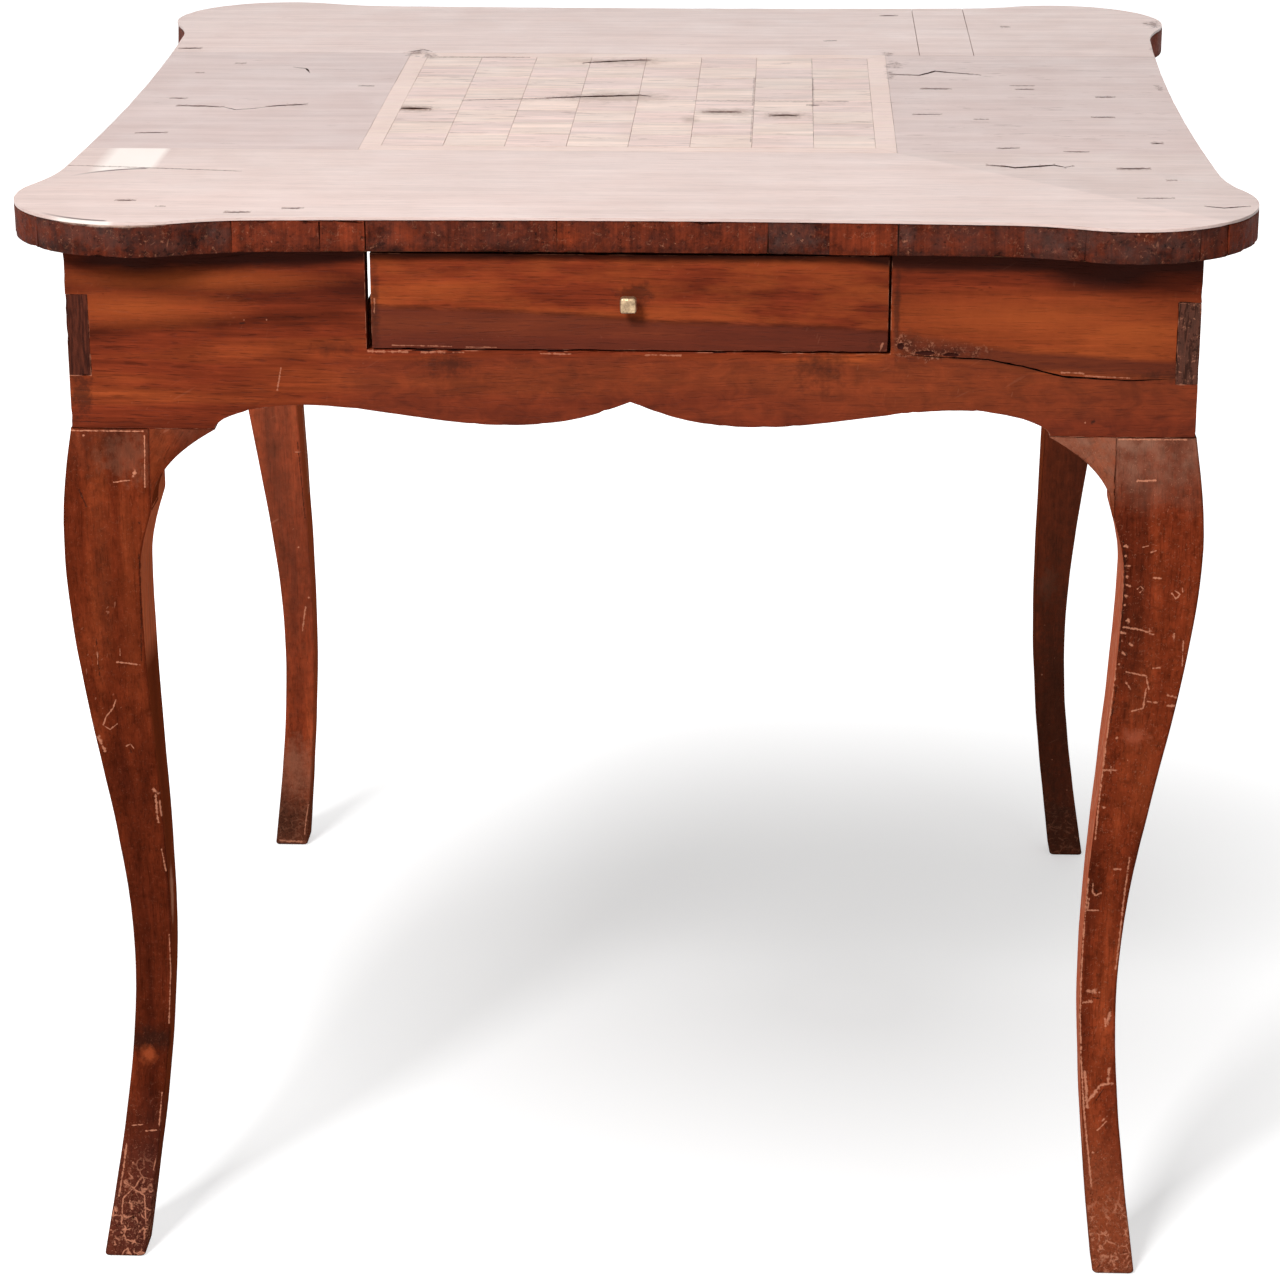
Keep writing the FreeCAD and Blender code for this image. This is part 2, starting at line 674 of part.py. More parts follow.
def drawer_front():
    """Front of the drawer: lapped for the sides, grooved for the bottom, bored for the knob."""
    lengths = ("drawer_width", "drawer_front_thickness", "drawer_top - rail_top - gap_below")
    board = block("front_board", lengths, ("drawer_left", "front_face", "rail_top + gap_below"))
    lap = ("drawer_side_thickness", "drawer_lap", "opening_height")
    far_side = "drawer_right - drawer_side_thickness"
    left_lap = block("front_lap_left", lap, ("drawer_left", "side_start", "rail_top"))
    right_lap = block("front_lap_right", lap, (far_side, "side_start", "rail_top"))
    groove = block("front_groove", ("drawer_width", "groove_depth", "drawer_bottom_thickness"),
                   ("drawer_left", "front_back - groove_depth", "groove_floor"))
    hole = rod("front_hole", "stem_radius + stem_clearance", "drawer_front_thickness",
               ("knob_x", "front_face", "knob_z"))
    worked = cut("drawer_front_worked", board, fuse("front_cuts", [left_lap, right_lap, groove, hole]))
    keep(worked, "drawer_front")


def drawer_sides():
    """Two sides, each with the groove that the bottom slides into."""
    lengths = ("drawer_side_thickness", "drawer_depth", "drawer_top - drawer_floor")
    groove_lengths = ("groove_depth", "drawer_depth", "drawer_bottom_thickness")
    for side, board_x, groove_x in (
        ("left", "drawer_left", "drawer_left + drawer_side_thickness - groove_depth"),
        ("right", "drawer_right - drawer_side_thickness", "drawer_right - drawer_side_thickness"),
    ):
        board = block("side_board_" + side, lengths, (board_x, "side_start", "drawer_floor"))
        groove = block("side_groove_" + side, groove_lengths, (groove_x, "side_start", "groove_floor"))
        keep(cut("side_worked_" + side, board, groove), "drawer_side_" + side)


def drawer_bottom_and_back():
    """The bottom runs in the grooves and under the back."""
    inner_width = "drawer_width - 2 * drawer_side_thickness"
    bottom = block("bottom_board", ("%s + 2 * groove_depth" % inner_width,
                                    "side_end - front_back + groove_depth",
                                    "drawer_bottom_thickness"),
                   ("drawer_left + drawer_side_thickness - groove_depth",
                    "front_back - groove_depth", "groove_floor"))
    keep(bottom, "drawer_bottom")
    height = "drawer_top - groove_floor - drawer_bottom_thickness"
    back = block("back_board", (inner_width, "drawer_back_thickness", height),
                 ("drawer_left + drawer_side_thickness", "side_end - drawer_back_thickness",
                  "groove_floor + drawer_bottom_thickness"))
    keep(back, "drawer_back")


def knob():
    """Square brass knob on a stem, held by a square nut inside the drawer."""
    head = block("knob_head", ("knob_side", "knob_length", "knob_side"),
                 ("knob_x - knob_side / 2", "front_face - neck_length - knob_length",
                  "knob_z - knob_side / 2"))
    doc.recompute()
    bevelled = doc.addObject("Part::Chamfer", "knob_bevelled")
    bevelled.Base = head
    bevelled.Edges = [(number, size.knob_chamfer, size.knob_chamfer)
                      for number in range(1, len(head.Shape.Edges) + 1)]
    neck = rod("knob_neck", "neck_radius", "neck_length",
               ("knob_x", "front_face - neck_length", "knob_z"))
    stem = rod("knob_stem", "stem_radius", "drawer_front_thickness + nut_thickness + stem_spare",
               ("knob_x", "front_face", "knob_z"))
    keep(fuse("knob_whole", [bevelled, neck, stem]), "knob")
    plate = block("nut_plate", ("nut_side", "nut_thickness", "nut_side"),
                  ("knob_x - nut_side / 2", "front_back", "knob_z - nut_side / 2"))
    bore = rod("nut_bore", "stem_radius", "nut_thickness", ("knob_x", "front_back", "knob_z"))
    keep(cut("nut_bored", plate, bore), "knob_nut")


# ---------------------------------------------------------------- assembly

def check_and_export():
    """Every object has computed and every sub-part is a sound solid; then write them."""
    doc.recompute()
    for thing in doc.Objects:
        if "Invalid" in thing.State or "Error" in thing.State:
            raise RuntimeError("%s did not compute: %s" % (thing.Label, thing.State))
    for thing in pieces:
        if thing.Shape.isNull() or not thing.Shape.isValid() or not thing.Shape.Solids:
            raise RuntimeError("%s has no sound solid" % thing.Label)
    os.makedirs("parts", exist_ok=True)
    for thing in pieces:
        thing.Shape.exportStep("parts/%s.step" % thing.Label)
        print("%-26s %3d solids %12.1f mm3" % (thing.Label, len(thing.Shape.Solids), thing.Shape.Volume))


def main():
    core_boards()
    edge_banding()
    veneers()
    board_squares()
    board_borders()
    end_aprons()
    side_aprons()
    glue_blocks()
    for corner, side_x, side_y in (("front_left", -1, -1), ("front_right", 1, -1),
                                   ("back_left", -1, 1), ("back_right", 1, 1)):
        leg("leg_" + corner, side_x, side_y)
        brackets(corner, side_x, side_y)
    drawer_carriers()
    drawer_front()
    drawer_sides()
    drawer_bottom_and_back()
    knob()
    check_and_export()


main()
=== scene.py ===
import bisect
import functools
import json
import math

import bmesh
import bpy
from bpy.props import FloatProperty, FloatVectorProperty, PointerProperty
from mathutils import Euler, Matrix, Vector, noise
from mathutils.bvhtree import BVHTree

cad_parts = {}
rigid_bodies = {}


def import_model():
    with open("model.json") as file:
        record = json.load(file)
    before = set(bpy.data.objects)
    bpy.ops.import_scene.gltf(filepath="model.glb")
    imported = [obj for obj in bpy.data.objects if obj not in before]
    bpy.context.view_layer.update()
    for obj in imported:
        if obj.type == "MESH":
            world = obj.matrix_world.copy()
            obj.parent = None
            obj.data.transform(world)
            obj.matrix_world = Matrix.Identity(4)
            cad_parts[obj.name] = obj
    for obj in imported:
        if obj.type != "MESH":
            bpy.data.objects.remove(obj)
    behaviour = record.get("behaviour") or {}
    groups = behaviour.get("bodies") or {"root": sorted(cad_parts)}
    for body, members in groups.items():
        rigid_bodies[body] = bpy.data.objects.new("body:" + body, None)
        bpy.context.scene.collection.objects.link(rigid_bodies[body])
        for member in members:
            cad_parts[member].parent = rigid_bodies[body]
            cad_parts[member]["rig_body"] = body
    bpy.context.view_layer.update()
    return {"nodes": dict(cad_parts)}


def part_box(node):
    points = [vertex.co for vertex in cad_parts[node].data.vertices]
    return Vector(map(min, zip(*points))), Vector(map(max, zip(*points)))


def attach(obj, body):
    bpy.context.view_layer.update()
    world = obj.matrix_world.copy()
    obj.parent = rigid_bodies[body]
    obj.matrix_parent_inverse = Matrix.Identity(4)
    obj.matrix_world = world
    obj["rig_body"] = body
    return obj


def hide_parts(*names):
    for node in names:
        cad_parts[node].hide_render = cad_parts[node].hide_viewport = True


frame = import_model()

bl_info = {
    "name": "Inlaid chess table",
    "version": (1, 0, 0),
    "blender": (4, 5, 0),
    "location": "3D View > Sidebar > Chess table",
    "description": "Worn walnut table with an inlaid board, one drawer and cabriole legs",
    "category": "Object",
}

MILLIMETRE = 0.001
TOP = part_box("veneer_front_strip")[1].z
APRON_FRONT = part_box("front_apron")[0].y
# where the aprons stand on the legs' shoulders
APRON_HEIGHT = 0.1255
APRON_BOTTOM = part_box("leg_front_left")[1].z - APRON_HEIGHT
# how deep the chips along the arrises are, and how far apart where few of them show
CHIP = {"veneer": 0.0002, "plain": 0.0004, "board": 0.0006, "bracket": 0.0008, "rim": 0.0012, "leg": 0.0016}
WIDE_STEP = 0.02
# the rounded front left corner of the top
LOBE_RADIUS = 0.088
LOBE_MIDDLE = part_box("veneer_front_strip")[0] * Vector((1, 1, 0)) + Vector((LOBE_RADIUS, LOBE_RADIUS, 0))


def shade(red, green, blue):
    """A linear colour from the three display values of 0 to 255."""
    return tuple(
        value / 255 / 12.92 if value <= 10 else ((value / 255 + 0.055) / 1.055) ** 2.4
        for value in (red, green, blue)
    )


def setting(name, description, default, **options):
    return FloatProperty(name=name, description=description, default=default, **options)


def length(name, description, default):
    return setting(name, description, default, min=0.0, unit="LENGTH", precision=5)


def angle(name, description, default):
    return setting(name, description, default, subtype="ANGLE")


def power(name, description, default):
    return setting(name, description, default, unit="POWER")


def colour(name, description, red, green, blue):
    return FloatVectorProperty(name=name, description=description, subtype="COLOR",
                               size=3, min=0.0, max=1.0, default=shade(red, green, blue))


# ------------------------------------------------------------------ settings

class ChessTableSizes(bpy.types.PropertyGroup):
    board_rounding: length("Board rounding", "Worn rounding of the aprons' and drawer's arrises", 0.0007)
    veneer_rounding: length("Veneer rounding", "Worn rounding along the joints of the top", 0.00018)
    rim_rounding: length("Rim rounding", "Worn rounding round the banded edge", 0.0011)
    leg_rounding: length("Leg rounding", "Worn rounding of the legs' long arrises", 0.0022)
    bracket_rounding: length("Bracket rounding", "Worn rounding of the knee brackets", 0.0009)
    banding_gap: length("Banding gap", "Open joint between two lengths of the banding", 0.0001)
    nibble_step: length("Nibble step", "Spacing of the small chips along an arris", 0.005)
    leg_step: length("Leg step", "Height of one ring of a leg's mesh", 0.003)
    foot_rounding: length("Foot rounding", "Worn rounding under the feet", 0.003)
    crack_depth: length("Crack depth", "Depth of the cracks in the top veneer", 0.0014)
    mark_margin: length("Mark margin", "How far past a leg's zone its marks are still drawn", 0.004)


class ChessTableColours(bpy.types.PropertyGroup):
    apron_dark: colour("Apron dark", "Dark streaks of the aprons and drawer front", 66, 22, 12)
    apron_mid: colour("Apron middle", "Main red-brown of the aprons", 122, 48, 25)
    apron_light: colour("Apron light", "Orange streaks of the aprons", 168, 80, 38)
    leg_dark: colour("Leg dark", "Dark streaks of the legs", 66, 24, 14)
    leg_mid: colour("Leg middle", "Main brown of the legs", 114, 45, 23)
    leg_light: colour("Leg light", "Orange streaks of the legs", 154, 70, 38)
    banding_dark: colour("Banding dark", "Dark pieces round the edge", 60, 28, 22)
    banding_light: colour("Banding light", "Bright pieces round the edge", 138, 56, 30)
    # the pale tones of the top and board are partly painted sheen
    veneer_dark: colour("Veneer dark", "Dark grain of the top", 199, 169, 160)
    veneer_light: colour("Veneer light", "Pale grain of the top", 229, 204, 196)
    pale_square: colour("Pale square", "Pale squares of the board", 235, 207, 193)
    dark_square: colour("Dark square", "Dark squares of the board", 230, 199, 189)
    nick: colour("Nick", "Bare wood where the polish is chipped", 218, 144, 112)
    gap: colour("Gap", "Dirt inside cracks and joints", 48, 26, 19)
    inner_wood: colour("Inner wood", "Unpolished wood inside and underneath", 172, 120, 84)
    brass: colour("Brass", "Knob, dulled brass", 202, 172, 136)


class ChessTableStage(bpy.types.PropertyGroup):
    camera_place: FloatVectorProperty(name="Camera place", description="Where the camera stands",
                                      default=(0.1046, -2.7865, 1.3177), subtype="TRANSLATION",
                                      unit="LENGTH")
    camera_tilt: angle("Camera tilt", "Angle of the view up from straight down", math.pi / 2 - 0.3369)
    camera_turn: angle("Camera turn", "Angle of the view to the left", 0.0413)
    camera_roll: angle("Camera roll", "Turn of the picture about its middle", -0.0024)
    lens: setting("Lens", "Focal length on a 36 mm sensor", 103.23)
    overhead_power: power("Overhead power", "Soft light above the table", 6.0)
    front_power: power("Front power", "Soft light at the front left", 140.0)
    back_power: power("Back power", "Soft light behind that the top reflects", 8.0)
    fill_power: power("Fill power", "Weak light at the right", 14.0)
    surround: setting("Surround", "Strength of the even light from all sides", 0.22)
    floor_glow: setting("Floor glow", "Light that the floor adds for the camera alone", 0.42,
                        min=0.0, max=1.0, subtype="FACTOR")


# ------------------------------------------------------------------ shader values

class Value:
    """An output of a shader node; what is reckoned from it adds nodes to its tree."""

    def __init__(self, tree, socket):
        self.tree = tree
        self.socket = socket

    def __add__(self, other):
        return maths("ADD", self, other)

    def __radd__(self, other):
        return maths("ADD", other, self)

    def __sub__(self, other):
        return maths("SUBTRACT", self, other)

    def __rsub__(self, other):
        return maths("SUBTRACT", other, self)

    def __mul__(self, other):
        return maths("MULTIPLY", self, other)

    def __truediv__(self, other):
        return maths("DIVIDE", self, other)

    def __rtruediv__(self, other):
        return maths("DIVIDE", other, self)

    def __abs__(self):
        return maths("ABSOLUTE", self)

    def scaled(self, factor, plus):
        """The value times a factor, with something added."""
        return maths("MULTIPLY_ADD", self, factor, plus)

    def ramp(self, low, high, start=0.0, end=1.0):
        """The value spread evenly from start to end between low and high, and held outside them."""
        return put("ShaderNodeMapRange", {0: self, 1: low, 2: high, 3: start, 4: end})

    def spread(self, start, end):
        return self.ramp(0.0, 1.0, start, end)

    def split(self, kind="ShaderNodeSeparateXYZ"):
        """The three parts of a vector or colour."""
        node = put(kind, {0: self}).socket.node
        return [Value(self.tree, socket) for socket in node.outputs]

    def vector(self, operation, *others, out=0):
        """Vector maths with other vectors; lengths and products are output 1."""
        return put("ShaderNodeVectorMath", dict(enumerate((self, *others))), out, operation=operation)

    def stretch(self, *scale):
        return self.vector("MULTIPLY", scale)

    def clouds(self, scale, detail=3.0, roughness=0.5, warp=0.0):
        return put("ShaderNodeTexNoise", {"Vector": self, "Scale": scale, "Detail": detail,
                                          "Roughness": roughness, "Distortion": warp})


def feed(socket, value):
    """Links a value to an input or sets the input's constant; a colour gets its alpha here."""
    if isinstance(value, Value):
        value.tree.links.new(value.socket, socket)
    else:
        socket.default_value = (*value, 1.0) if socket.type == "RGBA" else value


def put(kind, inputs, out=0, tree=None, **options):
    """An output of a new node; each input gets a constant or the value that feeds it."""
    tree = tree or next(value.tree for value in inputs.values() if isinstance(value, Value))
    node = tree.nodes.new(kind)
    for name, value in options.items():
        setattr(node, name, value)
    for key, value in inputs.items():
        feed(node.inputs[key], value)
    return Value(tree, node.outputs[out])


def maths(operation, *values, clamp=False):
    return put("ShaderNodeMath", dict(enumerate(values)), operation=operation, use_clamp=clamp)


def most(*values):
    """The largest of several values."""
    return functools.reduce(lambda first, second: maths("MAXIMUM", first, second), values)


def blend(factor, first, second, how="MIX"):
    return put("ShaderNodeMix", {0: factor, 6: first, 7: second}, 2, data_type="RGBA", blend_type=how)


def scale_colour(tint, value):
    """A colour made lighter or darker by a value about 1."""
    if isinstance(value, Value):
        grey = put("ShaderNodeCombineColor", {0: value, 1: value, 2: value})
    elif isinstance(tint, Value):
        grey = (value, value, value)
    else:
        return tuple(channel * value for channel in tint)
    return blend(1.0, tint, grey, "MULTIPLY")


def darken(mask, tint, value):
    """The colour multiplied by a value where the mask is 1."""
    return blend(mask, tint, scale_colour(tint, value))


# ------------------------------------------------------------------ shared effects

def sawn_grain(vector, width, wander):
    """Grain along X: broad figure, streaks, fine fibres, dark pores and their relief."""
    swing = (vector.stretch(2.0, 7.0, 7.0).clouds(1.0, 2.0) - 0.5) * wander
    bent = vector.vector("ADD", put("ShaderNodeCombineXYZ", {1: swing, 2: swing}))
    figure = bent.stretch(0.07, 1.0, 1.0).clouds(0.6 / width, 4.0, 0.55)
    streaks = bent.stretch(0.06, 1.0, 1.0).clouds(260.0, 4.0, 0.6)
    fibres = bent.stretch(0.03, 1.0, 1.0).clouds(700.0, 2.0, 0.6)
    pores = bent.stretch(0.07, 1.0, 1.0).clouds(1000.0, 1.0).ramp(0.6, 0.68)
    return {"Figure": figure.ramp(0.3, 0.7), "Streaks": streaks.ramp(0.32, 0.68),
            "Fibres": fibres.ramp(0.3, 0.7), "Pores": pores, "Relief": fibres - pores}


def scratches(vector, amount):
    """A few thin straight scratches in three directions, in patches."""
    lines = []
    for number, turn in enumerate(((0.3, 0.5, 0.2), (1.1, -0.6, 0.9), (-0.5, 1.3, -0.7))):
        aslant = put("ShaderNodeVectorRotate", {"Vector": vector, "Rotation": turn},
                     rotation_type="EULER_XYZ")
        lines.append(aslant.stretch(0.05, 1.0, 1.0).clouds(420.0 + 60.0 * number, 0.0).ramp(0.8, 0.84))
    patches = vector.clouds(17.0, 2.0).ramp(0.52, 0.62)
    return {"Mask": maths("MULTIPLY", most(*lines) * patches, amount, clamp=True)}


def crumble(vector, size, amount):
    """Rough, crumbled surface: pale specks, dark pits and an uneven tone."""
    per_size = 1.0 / size
    rough = vector.clouds(per_size, 4.0, 0.7)
    other = vector.vector("ADD", (3.1, 7.7, 5.3)).clouds(per_size, 4.0, 0.7)
    limit = (amount + vector.clouds(per_size * 0.14)).scaled(-0.2, plus=0.84)
    return {"Pale": (rough - limit).ramp(0.0, 0.05), "Dark": (other - limit).ramp(-0.02, 0.04),
            "Tone": (rough - other).ramp(-0.25, 0.25)}


def flakes(vector, size):
    """Flaking surface: thin crooked pale lines and ragged dark blots."""
    per_size = 1.0 / size
    level = abs(vector.clouds(per_size, 4.0, 0.6) - 0.5)
    some = vector.clouds(per_size * 2.3, 2.0).ramp(0.5, 0.6)
    blots = vector.vector("ADD", (1.7, 2.9, 4.1)).clouds(per_size * 0.7, 5.0, 0.72)
    return {"Lines": level.ramp(0.014, 0.005) * some, "Blots": blots.ramp(0.5, 0.63)}


def grime(vector, amount):
    """Soft dirt in broad and small patches."""
    both = vector.clouds(9.0, 4.0, 0.6) * 0.6 + vector.clouds(90.0, 3.0, 0.6) * 0.4
    return {"Mask": maths("MULTIPLY", both.ramp(0.4, 0.65), amount, clamp=True)}


def patch(vector, centre, reach, ragged, soft):
    """An oval patch with ragged borders about a centre; soft widens its border."""
    far = vector.vector("SUBTRACT", centre).vector("DIVIDE", reach).vector("LENGTH", out=1)
    torn = (vector.clouds(160.0, 4.0, 0.65) - 0.5) * (ragged * 4.0)
    return {"Mask": (far + torn).ramp(1.0 + soft * 0.5, 1.0 - soft * 0.9)}


def stroke(vector, start, run, width, uneven):
    """One scratch: a straight run from a start, worn to an uneven width."""
    away = vector.vector("SUBTRACT", start)
    reach = away.vector("DOT_PRODUCT", run, out=1)
    whole = run.vector("DOT_PRODUCT", run, out=1)
    part = maths("DIVIDE", reach, most(whole, 1e-9), clamp=True)
    near = put("ShaderNodeVectorMath", {0: run, "Scale": part}, operation="SCALE")
    far = away.vector("SUBTRACT", near).stretch(1.0, 0.2, 1.0).vector("LENGTH", out=1)
    return {"Mask": (far + uneven * width).ramp(width * 0.55, width * 0.15)}


def scratch_net(vector, size):
    """A net of fine scratches that cross."""
    bend = put("ShaderNodeTexNoise", {"Vector": vector, "Scale": 110.0, "Detail": 3.0}, 1)
    moved = bend.vector("MULTIPLY_ADD", (0.012, 0.012, 0.012), vector)
    cells = put("ShaderNodeTexVoronoi", {"Vector": moved, "Scale": 1.0 / size}, feature="DISTANCE_TO_EDGE")
    return {"Mask": cells.ramp(0.09, 0.03) * vector.clouds(150.0, 3.0, 0.6).ramp(0.46, 0.54)}


# each effect and the starting values of its inputs beside the coordinates
EFFECTS = (
    (sawn_grain, {"width": 0.02, "wander": 0.02}),
    (scratches, {"amount": 0.5}),
    (crumble, {"size": 0.004, "amount": 0.5}),
    (flakes, {"size": 0.008}),
    (grime, {"amount": 0.5}),
    (patch, {"centre": (0.0, 0.0, 0.0), "reach": (0.01, 0.01, 0.01), "ragged": 0.3, "soft": 0.3}),
    (stroke, {"start": (0.0, 0.0, 0.0), "run": (0.0, 0.0, 0.0), "width": 0.001, "uneven": 0.0}),
    (scratch_net, {"size": 0.01}),
)


def build_groups():
    """A node group for each effect that several finishes share."""
    for effect, defaults in EFFECTS:
        tree = bpy.data.node_groups.new(effect.__name__, "ShaderNodeTree")
        sockets = tree.interface
        sockets.new_socket(name="Vector", in_out="INPUT", socket_type="NodeSocketVector")
        for name, default in defaults.items():
            kind = "NodeSocketVector" if isinstance(default, tuple) else "NodeSocketFloat"
            socket = sockets.new_socket(name=name.capitalize(), in_out="INPUT", socket_type=kind)
            socket.default_value = default
        given = tree.nodes.new("NodeGroupInput").outputs
        made = effect(*(Value(tree, given[name.capitalize()]) for name in ("vector", *defaults)))
        for name in made:
            sockets.new_socket(name=name, in_out="OUTPUT", socket_type="NodeSocketFloat")
        result = tree.nodes.new("NodeGroupOutput").inputs
        for name, value in made.items():
            feed(result[name], value)


def use(effect, vector, **inputs):
    """A shared effect placed in a material; its outputs by name."""
    node = vector.tree.nodes.new("ShaderNodeGroup")
    node.node_tree = bpy.data.node_groups[effect]
    for name, value in {"vector": vector, **inputs}.items():
        feed(node.inputs[name.capitalize()], value)
    return {socket.name: Value(vector.tree, socket) for socket in node.outputs}


def mask_of(effect, vector, **inputs):
    return use(effect, vector, **inputs)["Mask"]


# ------------------------------------------------------------------ finishes

def new_material(name):
    """A material, its shader and its Object coordinates."""
    material = bpy.data.materials.new(name)
    material.use_nodes = True
    tree = material.node_tree
    tree.nodes.clear()
    shader = tree.nodes.new("ShaderNodeBsdfPrincipled")
    output = tree.nodes.new("ShaderNodeOutputMaterial")
    tree.links.new(shader.outputs[0], output.inputs[0])
    return material, shader, put("ShaderNodeTexCoord", {}, "Object", tree)


def turned(place, turn, shift=(0.0, 0.0, 0.0)):
    """Coordinates turned so that the grain's X axis lies along the wood."""
    return put("ShaderNodeMapping", {"Vector": place, "Location": shift, "Rotation": turn},
               vector_type="POINT")


ALONG_X = (0.0, 0.0, 0.0)
ALONG_Y = (0.0, 0.0, -math.pi / 2)
ALONG_Z = (0.0, math.pi / 2, 0.0)


def wood_colour(grain, dark, mid, light, streak=0.16, fibre=0.18, pore=0.3):
    """Three tones spread by the figure, then streaked by the finer grain and pores."""
    lower = blend(grain["Figure"].ramp(0.0, 0.5), dark, mid)
    tint = blend(grain["Figure"].ramp(0.5, 1.0), lower, light)
    tint = scale_colour(tint, grain["Streaks"].spread(1.0 - streak, 1.0 + streak))
    tint = scale_colour(tint, grain["Fibres"].spread(1.0 - fibre, 1.0 + fibre))
    return scale_colour(tint, grain["Pores"].spread(1.0, 1.0 - pore))


def set_inputs(shader, inputs):
    for name, value in inputs.items():
        feed(shader.inputs[name], value)


def finish_wood(shader, tint, gloss, relief, height=0.00012, specular=0.1, coat=0.0):
    """Sets the shader for wood under polish; height is how deep its relief is."""
    bump = put("ShaderNodeBump", {"Strength": 1.0, "Distance": height, "Height": relief})
    set_inputs(shader, {"Base Color": tint, "Roughness": gloss, "Specular IOR Level": specular,
                        "Coat Weight": coat, "Coat Roughness": 0.3, "Normal": bump})


def attribute(place, name, out="Fac"):
    """What the mesh carries under a name."""
    return put("ShaderNodeAttribute", {}, out, place.tree, attribute_name=name)


def patches_on(place, rows):
    """One mask from several oval patches: (centre, reach, ragged, soft)."""
    return most(*(mask_of("patch", place, centre=centre, reach=reach, ragged=ragged, soft=soft)
                  for centre, reach, ragged, soft in rows))


def front_patches(place, rows, deep=0.02):
    """Patches on the face of the front apron: (x, z, reach across, reach up, ragged, soft)."""
    return patches_on(place, [((x, APRON_FRONT, z), (wide, deep, high), ragged, soft)
                              for x, z, wide, high, ragged, soft in rows])


def top_patches(place, rows):
    """Patches on the top: (x, y, reach across, reach back, ragged, soft)."""
    return patches_on(place, [((x, y, TOP), (wide, far, 0.01), ragged, soft)
                              for x, y, wide, far, ragged, soft in rows])


def strokes_on(place, rows):
    """One mask from several scratches: (width, place, place, ...), the places in metres."""
    uneven = (place.clouds(420.0, 3.0, 0.6) - 0.5) * 2.2
    masks = []
    for width, *places in rows:
        if len(places) == 1:
            places = places * 2
        for start, end in zip(places, places[1:]):
            run = tuple(Vector(end) - Vector(start))
            masks.append(mask_of("stroke", place, start=tuple(start), run=run, width=width, uneven=uneven))
    return most(*masks)


def front_strokes(place, rows):
    """Scratches on the face of the front apron: (width, (x, z), ...) in millimetres."""
    return strokes_on(place, [
        (width * MILLIMETRE, *((x * MILLIMETRE, APRON_FRONT, z * MILLIMETRE) for x, z in places))
        for width, *places in rows])


def apron_finish(name, turn, shift, colours, marks=None):
    """Polished walnut of an apron or of the drawer front."""
    material, shader, place = new_material(name)
    wood = turned(place, turn, shift)
    along = wood.stretch(0.4, 1.0, 1.0)
    grain = use("sawn_grain", wood, width=0.03, wander=0.03)
    tint = wood_colour(grain, colours.apron_dark, colours.apron_mid, colours.apron_light)
    tint = scale_colour(tint, along.clouds(60.0, 4.0, 0.65).ramp(0.3, 0.7, 0.8, 1.18))
    if marks:
        tint = marks(place, tint)
    tint = darken(mask_of("grime", place, amount=0.35), tint, 0.72)
    tint = darken(use("crumble", along, size=0.0035, amount=0.1)["Dark"], tint, 0.6)
    tint = blend(mask_of("scratches", place, amount=0.05), tint, colours.nick)
    worn = attribute(place, "wear") * place.clouds(120.0).ramp(0.5, 0.62)
    tint = blend(worn * 0.4, tint, colours.nick)
    gloss = place.clouds(30.0, 4.0).ramp(0.3, 0.7, 0.38, 0.55)
    finish_wood(shader, tint, gloss, grain["Relief"], specular=0.05)
    return material


def under_top_dirt(place, tint):
    """Painted shadow along the upper edge of the front, deeper where the top reaches out over it and
    lighter at the left end.
    """
    x, z = place.split()[::2]
    uneven = (place.clouds(25.0) - 0.5).scaled(0.005, plus=z)
    sides = most(x.ramp(-0.17, -0.22), x.ramp(0.15, 0.185))
    dirt_and_shade = sides.scaled(0.007, plus=uneven).ramp(0.7475, 0.753)
    # painted shadow, deeper under the two lobes of the top
    deep = front_patches(place, (
        (-0.325, 0.750, 0.03, 0.0115, 0.05, 0.4), (0.314, 0.750, 0.045, 0.0195, 0.05, 0.4)))
    dirt_and_shade = most(dirt_and_shade, deep) * 0.92 * x.ramp(-0.377, -0.36, 0.4, 1.0)
    return blend(dirt_and_shade, tint, shade(54, 20, 12))


